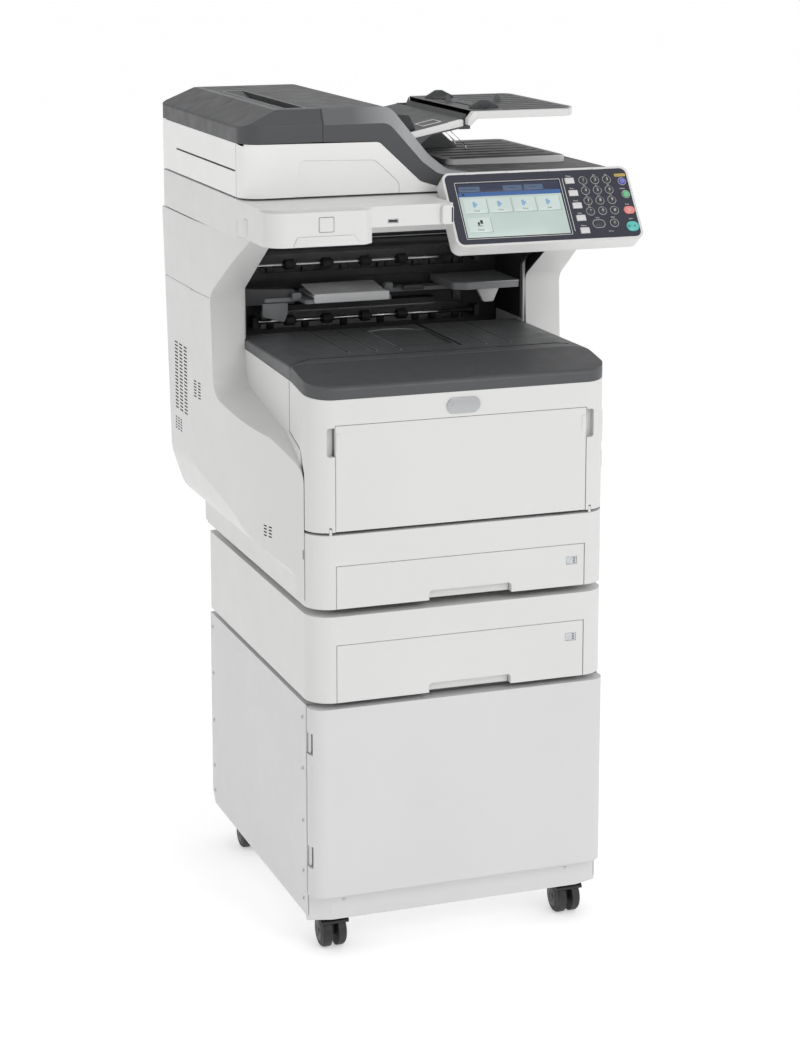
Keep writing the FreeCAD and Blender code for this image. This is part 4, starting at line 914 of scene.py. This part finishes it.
@piece("flap_sheet", clear("flap_sheet", (0.97, 0.975, 0.98, 1.0), 0.12, 0.12), "stop_flap")
def _(bm):
    def sloping(u, v, w):
        return at(u, v, 901.2 + 0.12 * (v - 332.0) + w)
    plate(bm, rectangle(-109, 7, 332.0, 401, 4.0), 0, 0.6, sloping, 0.2)


@piece("flap_ribs", moulded("flap_rib", srgb(178, 184, 190), rough=0.3, edge=0.3), "stop_flap")
def _(bm):
    for x in (-90.0, -51.0, -12.0):
        plate(bm, strip(x, 1.2, 344, 396, 1), 0, 1.2, facing_up(901.0), 0.4)


def star_wheels(name, height, body):
    @piece(name, BLACK, body)
    def _(bm):
        for x in (-124.0, -64.0, -2.0, 57.0):
            for side in (-1, 1):
                turned(bm, [(3.4, -1.2), (4.8, -0.6), (4.8, 0.6), (3.4, 1.2)],
                       at(x + side * 9.2, SHAFT_Y, height), (1, 0, 0), 20)


def shaft_sleeves(name, height, body):
    """Bright lengths of shaft between the rollers."""
    @piece(name, SPRING, body)
    def _(bm):
        for x0, x1 in ((-174.0, -134.6), (-113.4, -74.6), (-53.4, -12.6), (8.6, 46.4), (67.6, 118.0)):
            turned(bm, [(2.9, x0), (3.15, x0 + 0.4), (3.15, x1 - 0.4), (2.9, x1)], at(0.0, SHAFT_Y, height),
                   (1, 0, 0), 20)


shaft_sleeves("upper_shaft_sleeves", UPPER_SHAFT, "upper_exit")
shaft_sleeves("lower_shaft_sleeves", LOWER_SHAFT, "lower_exit")
star_wheels("upper_roller_collars", UPPER_SHAFT, "upper_exit")
star_wheels("lower_roller_collars", LOWER_SHAFT, "lower_exit")

# ---- output tray ----


TRAY_GROOVES = (-117.0, -75.0, -38.0, 94.0, 133.0)
TRAY_TOP = 848.3
RECESS = (0.0, 252.0, 62.0)   # centre and radius of the paper recess


@piece("output_tray_seam", SLOT_DARK, "body")
def _(bm):
    line = [(-223.4, 96, 845.4), (-202, 110.5, TRAY_TOP - 0.3), (-186, 121, TRAY_TOP - 0.3),
            (0, 121, TRAY_TOP - 0.3),
            (192, 121, TRAY_TOP - 0.3), (208, 112, TRAY_TOP - 0.9)]
    tube(bm, [at(*p) for p in line], 1.1, 8)


# Dark plates set into the CAD grooves, just under the tray top: painted shade of the grooves
@piece("output_tray_groove_shade", SLOT_DARK, "body")
def _(bm):
    for x in TRAY_GROOVES:
        plate(bm, strip(x, 1.6, 152, 352, 1.0), -1.4, -0.15, facing_up(TRAY_TOP), 0.1)
    plate(bm, rectangle(53.2, 60.8, 152, 352, 1.5), -1.8, -0.3, facing_up(TRAY_TOP), 0.1)


# The thin light grey strips along both sides of each groove are painted highlights on the groove edges; a
# strip of the same grey lies across each groove's end
@piece("output_tray_groove_ends_and_highlights", GREY, "body")
def _(bm):
    for x in TRAY_GROOVES + (57.0,):
        plate(bm, strip(x, 1.8, 148.6, 151.8, 1.2), -0.3, 0.35, facing_up(TRAY_TOP), 0.15)
        for side in (-1, 1):
            edge = x + side * (5.2 if x == 57.0 else 2.6)
            plate(bm, strip(edge, 0.3, 152, 340, 0.2), -0.3, 0.2, facing_up(TRAY_TOP), 0.08)


@piece("output_tray_recess_rim", GREY, "body")
def _(bm):
    turn = [math.radians(126 - 71 * k / 20) for k in range(21)]
    arc = [(RECESS[0] + RECESS[2] * math.cos(a), RECESS[1] + RECESS[2] * math.sin(a)) for a in turn]
    tube(bm, [at(-36.4, 178, TRAY_TOP - 0.2)] + [at(x, y, TRAY_TOP - 0.2) for x, y in arc], 0.8, 8)


plates("output_tray_recess_edge", SLOT_DARK, "body", "dark_cover",
       (rectangle(-36, 51, 175, 177.2, 0.8), -0.3, 0.2, facing_up(TRAY_TOP - 0.2), 0.1),
       (rectangle(49.6, 51.2, 176, 286, 0.6), -0.3, 0.2, facing_up(TRAY_TOP - 0.2), 0.1))

# ---- front covers ----


plates("front_badge", SILVER_AND_HIGHLIGHT, "front_door", "steel",
       (rectangle(-25, 25, 782.5, 804.5, 10.4), -0.2, 2.2, facing_front(0.0), 0.9))


@piece("mp_latches", WHITE, "mp_tray")
def _(bm):
    for side in (-1, 1):
        plate(bm, rectangle(*sorted((side * 181, side * 187.4)), 742, 766, 2.0), -3.0, 0.9,
              facing_front(0.0), 0.6)


@piece("side_catches", WHITE, "front_door")
def _(bm):
    for low, high in ((714, 764), (676, 704)):
        plate(bm, rectangle(36, 54, low, high, 4.0), -1.0, 5.6, facing_right(HALF), 1.6)


@piece("mp_lower_notches", SLOT_DARK, "front_door")
def _(bm):
    for x in (-150.0, 150.0):
        plate(bm, strip(x, 8, 626.4, 629.0, 0.8), -2.0, -0.3, facing_front(0.0), 0.2)


for body, top, low in (("feeder_drawer", 463.0, 380.0), ("printer_drawer", 577.0, 516.0)):
    @piece(body + "_label_window", clear("window_" + body, (0.9, 0.93, 0.95, 1), 0.08, 0.4), body)
    def _(bm):
        plate(bm, rectangle(159.4, 175.6, top - 28.6, top - 17.4, 1.0), -1.4, -0.5, facing_front(0.0), 0.2)

    @piece(body + "_level_marks", DARK_INK, body)
    def _(bm):
        for i in range(4):
            plate(bm, rectangle(170.0, 173.5, top - 27 + 2.4 * i, top - 26 + 2.4 * i, 0.2), -1.5, -0.4,
                  facing_front(0.0), 0.05)

    @piece(body + "_grip_lining", WHITE, body)
    def _(bm):
        plate(bm, [(-49, low + 0.5, 0.5), (74, low + 0.5, 0.5), (74, low + 13.4, 4.6),
                   (-49, low + 13.4, 4.6)], -11.6, -10.6, facing_front(0.0), 0.2)

    @piece(body + "_side_guides", GREY, body)
    def _(bm):
        for side in (-1, 1):
            x = side * 156.0
            outline = [(110, low + 9, 2), (380, low + 9, 2), (372, low + 50, 8), (118, low + 50, 8)]
            plate(bm, outline, 0, 5, facing_right(x - 2.5), 1.0)
            facing_in = facing_left(x - side * 2.4) if side > 0 else facing_right(x - side * 2.4)
            for i in range(8):
                plate(bm, rectangle(136 + 30 * i, 142 + 30 * i, low + 14, low + 44, 1), 0, 1.6, facing_in,
                      0.5)

# ---- side covers ----


def spaced(low, high, count):
    return [low + (high - low) * i / (count - 1) for i in range(count)]


# bank, places along y, heights, slot length, spacing


VENTS = (
    ("upper", spaced(438, 490, 3), spaced(714, 816, 20), 17.0, 5.3),
    ("middle", (366, 386), spaced(751, 774, 6), 12.0, 4.6),
    ("lower", spaced(468, 496, 3), spaced(681, 698, 5), 9.0, 4.2),
    ("front", (112, 124), spaced(598, 612, 4), 8.0, 4.6),
)
CABINET_SCREWS = [(y, z) for z in (78.0, 120.0, 196.0, 274.0, 350.0) for y in (44.0, 508.0)]
# (radius, height) down from the middle of each kind of screw head
CABINET_SCREW_HEAD = [(0.4, 1.3), (2.0, 1.2), (3.2, 0.7), (3.6, 0.0), (3.4, -0.3)]
REAR_SCREW_HEAD = [(0.4, 1.4), (2.2, 1.2), (3.4, 0.6), (3.6, -0.3)]
PLINTH_SCREW_HEAD = [(0.4, 1.0), (1.8, 0.9), (2.8, 0.4), (3.0, -0.3)]


def vent_bank(name, node, x, direction, columns, rows, length, pitch):
    """Rows of short slots let into a curved cover."""
    @piece(name, SLOT_DARK, "body")
    def _(bm):
        half = pitch * 0.22
        for y in columns:
            for z in rows:
                place = surface(node, (x, y, z), (direction, 0, 0))
                plate(bm, rectangle(-length / 2, length / 2, -half, half, pitch * 0.2), -0.5, 0.14, place,
                      0.1)


for side, node in ((-1, "left_side_cover"), (1, "right_side_cover")):
    label = "left" if side < 0 else "right"
    outside = side * 320.0
    for bank, columns, rows, length, pitch in VENTS:
        vent_bank(f"{label}_{bank}_vents", node, outside, -side, columns, rows, length, pitch)

    @piece(label + "_cabinet_screws", STEEL, "body")
    def _(bm):
        for y, z in CABINET_SCREWS:
            turned(bm, CABINET_SCREW_HEAD, at(side * HALF, y, z), (side, 0, 0), 20)

    @piece(label + "_screw_slots", SLOT_DARK, "body")
    def _(bm):
        face = facing_left(-HALF) if side < 0 else facing_right(HALF)
        for y, z in CABINET_SCREWS:
            for across, upright in ((1.8, 0.35), (0.35, 1.8)):
                slot = rectangle(y - across, y + across, z - upright, z + upright, 0.3)
                plate(bm, slot, 0.9, 1.42, face, 0.05)

    @piece(label + "_cover_latch", GREY, "body")
    def _(bm):
        place = surface("printer_chassis", (outside, 40.0, 590.0), (-side, 0, 0))
        plate(bm, rectangle(-9, 9, -7, 7, 2.5), -0.4, 1.2, place, 0.5)


@piece("left_arm_seam", SEAM, "body")
def _(bm):
    for y in spaced(316, 396, 11):
        place = surface("left_side_cover", (-320.0, y, 911.4), (1, 0, 0))
        plate(bm, rectangle(-4.1, 4.1, -0.35, 0.35, 0.2), -0.4, 0.1, place, 0.05)


# ---- rear face ----


REAR_Y = 540.0


@piece("rear_louvres", SLOT_DARK, "body")
def _(bm):
    for i in range(14):
        for x in (-150.0, -60.0):
            plate(bm, strip(x, 38, 548 + 6.2 * i, 551 + 6.2 * i, 1.2), -0.4, 0.5, facing_rear(REAR_Y), 0.2)


@piece("rear_socket", BLACK, "body")
def _(bm):
    ring(bm, rectangle(150, 186, 548, 576, 4), rectangle(153, 183, 551, 573, 3), -0.5, 4.0,
         facing_rear(REAR_Y), 1.0)
    plate(bm, rectangle(152.6, 183.4, 550.6, 573.4, 2), -0.5, 0.8, facing_rear(REAR_Y), 0.2)


@piece("rear_socket_pins", STEEL, "body")
def _(bm):
    for x, z in ((160.0, 559.0), (168.0, 565.0), (176.0, 559.0)):
        plate(bm, middled(x, 1, z, 2.5, 0.5), 0.6, 3.4, facing_rear(REAR_Y), 0.3)


plates("rear_port_plate", STEEL, "body", "steel",
       (rectangle(70, 132, 546, 620, 2), -0.4, 0.9, facing_rear(REAR_Y), 0.3))


@piece("rear_ports", SLOT_DARK, "body")
def _(bm):
    upper = [(80, 95, 600, 612), (104, 118, 600, 612)]
    lower = [(82, 92, 582, 590), (104, 114, 582, 590), (80, 122, 556, 570)]
    for x0, x1, z0, z1 in upper + lower:
        plate(bm, rectangle(x0, x1, z0, z1, 1), 0.7, 1.1, facing_rear(REAR_Y), 0.1)


plates("rear_label", INK, "body", None,
       (rectangle(-30, 40, 560, 606, 2), -0.2, 0.25, facing_rear(REAR_Y), 0.08))


@piece("rear_label_rules", DARK_INK, "body")
def _(bm):
    for i in range(6):
        plate(bm, rectangle(-24, 34 - 9 * (i % 3), 566 + 6 * i, 567.4 + 6 * i, 0.3), 0.2, 0.34,
              facing_rear(REAR_Y), 0.04)


@piece("rear_screws", STEEL, "body")
def _(bm):
    for x in (-208.0, 208.0):
        for y, z in ((540.0, 540.0), (540.0, 630.0)):
            turned(bm, REAR_SCREW_HEAD, at(x, y, z), (0, 1, 0), 20)


# ---- cabinet ----


@piece("plinth_screws", STEEL, "body")
def _(bm):
    for x in (-172.0, 172.0):
        turned(bm, PLINTH_SCREW_HEAD, at(x, 20.0, 78.0), (0, -1, 0), 20)


plates("door_magnet", STEEL, "body", "steel",
       (rectangle(176, 206, 340, 352, 2), 0, 3.4, facing_front(36.2), 0.5))


@piece("door_inner_ribs", WHITE, "door")
def _(bm):
    for x in (-120.0, -40.0, 40.0, 120.0):
        plate(bm, strip(x, 2, 106, 357, 1), 0, 8, facing_rear(4.0), 0.7)
    for z in (190.0, 270.0):
        plate(bm, rectangle(-199, 204, z - 2, z + 2, 1), 0, 6, facing_rear(4.0), 0.7)


# ---- print engine, seen with the front cover open ----


TONERS = {"yellow": (226, 196, 60), "magenta": (190, 52, 112), "cyan": (40, 150, 196), "black": (44, 44, 46)}
for i, (name, tint) in enumerate(TONERS.items()):
    @piece("toner_band_" + name, moulded("toner_" + name, srgb(*tint), rough=0.35, edge=0.4), "body")
    def _(bm):
        y = 150.0 + 78.0 * i
        plate(bm, rectangle(-150, 150, y - 8, y + 10, 2), -0.2, 0.8, facing_up(790.0), 0.3)

# ---- castors ----
# (radius, distance along the axle) from the middle of a castor
CASTOR_CAP = [(15.0, 17.8), (14.6, 18.6), (9.0, 19.6), (8.4, 19.0), (4.4, 19.2), (4.0, 20.0), (0.5, 20.4)]
CASTOR_TREAD = [(23.0, 7.0), (24.1, 7.8), (24.1, 13.0), (23.0, 13.8)]
for row, y in (("front", 66.0), ("rear", 470.0)):
    for side, x in (("left", -183.0), ("right", 183.0)):
        axle = at(x, y - 18.0, 24.0)

        @piece(f"castor_caps_{row}_{side}", BLACK, f"castor_{row}_{side}_wheels")
        def _(bm):
            for s in (-1, 1):
                turned(bm, CASTOR_CAP, axle, (s, 0, 0), 32)

        @piece(f"castor_treads_{row}_{side}", TREAD, f"castor_{row}_{side}_wheels")
        def _(bm):
            for s in (-1, 1):
                turned(bm, CASTOR_TREAD, axle, (s, 0, 0), 48)

        @piece(f"castor_ribs_{row}_{side}", BLACK, f"castor_{row}_{side}")
        def _(bm):
            for k in range(4):
                z = 32.0 + 4.6 * k
                plate(bm, middled(x, 4.6, z, 1.0, 0.6), 0, 1.6, facing_front(y - 18.0 - 8.0), 0.4)

# ---- floor, light and camera ----
LEFT_LIGHT = 0.48         # brightness of the studio round the object, by side
RIGHT_LIGHT = 0.60
LOW_SKY = 0.40            # and from low down to overhead, where it is the greater
SKY_LIGHT = 0.80
FLOOR_GLOW = 0.42         # keeps the paper floor as pale as the backdrop
scene = bpy.context.scene
scene.view_settings.view_transform = "Standard"
bm = bmesh.new()
bmesh.ops.create_circle(bm, cap_ends=True, segments=96, radius=40.0)
mesh = bpy.data.meshes.new("floor")
bm.to_mesh(mesh)
bm.free()
floor = bpy.data.objects.new("floor", mesh)
paper = moulded("floor_paper", (0.85, 0.85, 0.85, 1.0), rough=0.85, grain=0.1, dust=0.004, wear=0.0)
glow = paper.node_tree.nodes["Principled BSDF"].inputs
glow["Emission Color"].default_value = (1.0, 1.0, 1.0, 1.0)
glow["Emission Strength"].default_value = FLOOR_GLOW
mesh.materials.append(paper)
scene.collection.objects.link(floor)

world = bpy.data.worlds.new("studio")
world.use_nodes = True
sky = world.node_tree
sky.nodes["Background"].inputs["Color"].default_value = (1.0, 1.0, 1.0, 1.0)
ray = sky.nodes.new("ShaderNodeTexCoord")
split = sky.nodes.new("ShaderNodeSeparateXYZ")
sideways = sky.nodes.new("ShaderNodeMapRange")
upward = sky.nodes.new("ShaderNodeMapRange")
brightest = sky.nodes.new("ShaderNodeMath")
brightest.operation = "MAXIMUM"
sky.links.new(ray.outputs["Generated"], split.inputs["Vector"])
for source, node, start, end, low, high in (("X", sideways, -0.9, 0.3, LEFT_LIGHT, RIGHT_LIGHT),
                                            ("Z", upward, 0.3, 0.9, LOW_SKY, SKY_LIGHT)):
    sky.links.new(split.outputs[source], node.inputs["Value"])
    for key, value in zip(("From Min", "From Max", "To Min", "To Max"), (start, end, low, high)):
        node.inputs[key].default_value = value
sky.links.new(sideways.outputs["Result"], brightest.inputs[0])
sky.links.new(upward.outputs["Result"], brightest.inputs[1])
sky.links.new(brightest.outputs["Value"], sky.nodes["Background"].inputs["Strength"])
scene.world = world


def soft_light(name, place, aim, size, power):
    data = bpy.data.lights.new(name, "AREA")
    data.shape = "SQUARE"
    data.size = size
    data.energy = power
    lamp = bpy.data.objects.new(name, data)
    lamp.location = place
    lamp.rotation_euler = (Vector(aim) - Vector(place)).to_track_quat("-Z", "Y").to_euler()
    scene.collection.objects.link(lamp)


soft_light("key_light", (0.9, -3.2, 2.6), (0, 0, 1.15), 1.5, 30.0)
soft_light("fill_light", (-3.4, 0.2, 1.9), (0, 0, 1.0), 1.8, 5.0)
soft_light("top_light", (0.2, 0.6, 3.6), (0, 0, 0.8), 2.4, 5.0)

lens = bpy.data.cameras.new("camera")
lens.sensor_width = 36.0
lens.lens = 86.547
lens.shift_y = -0.15
lens.clip_end = 200.0
camera = bpy.data.objects.new("camera", lens)
camera.location = (-1.2541, -3.4801, 1.5131)
camera.rotation_euler = (math.radians(90.0 - 10.959), 0.0, math.radians(-19.935))
scene.collection.objects.link(camera)
scene.camera = camera
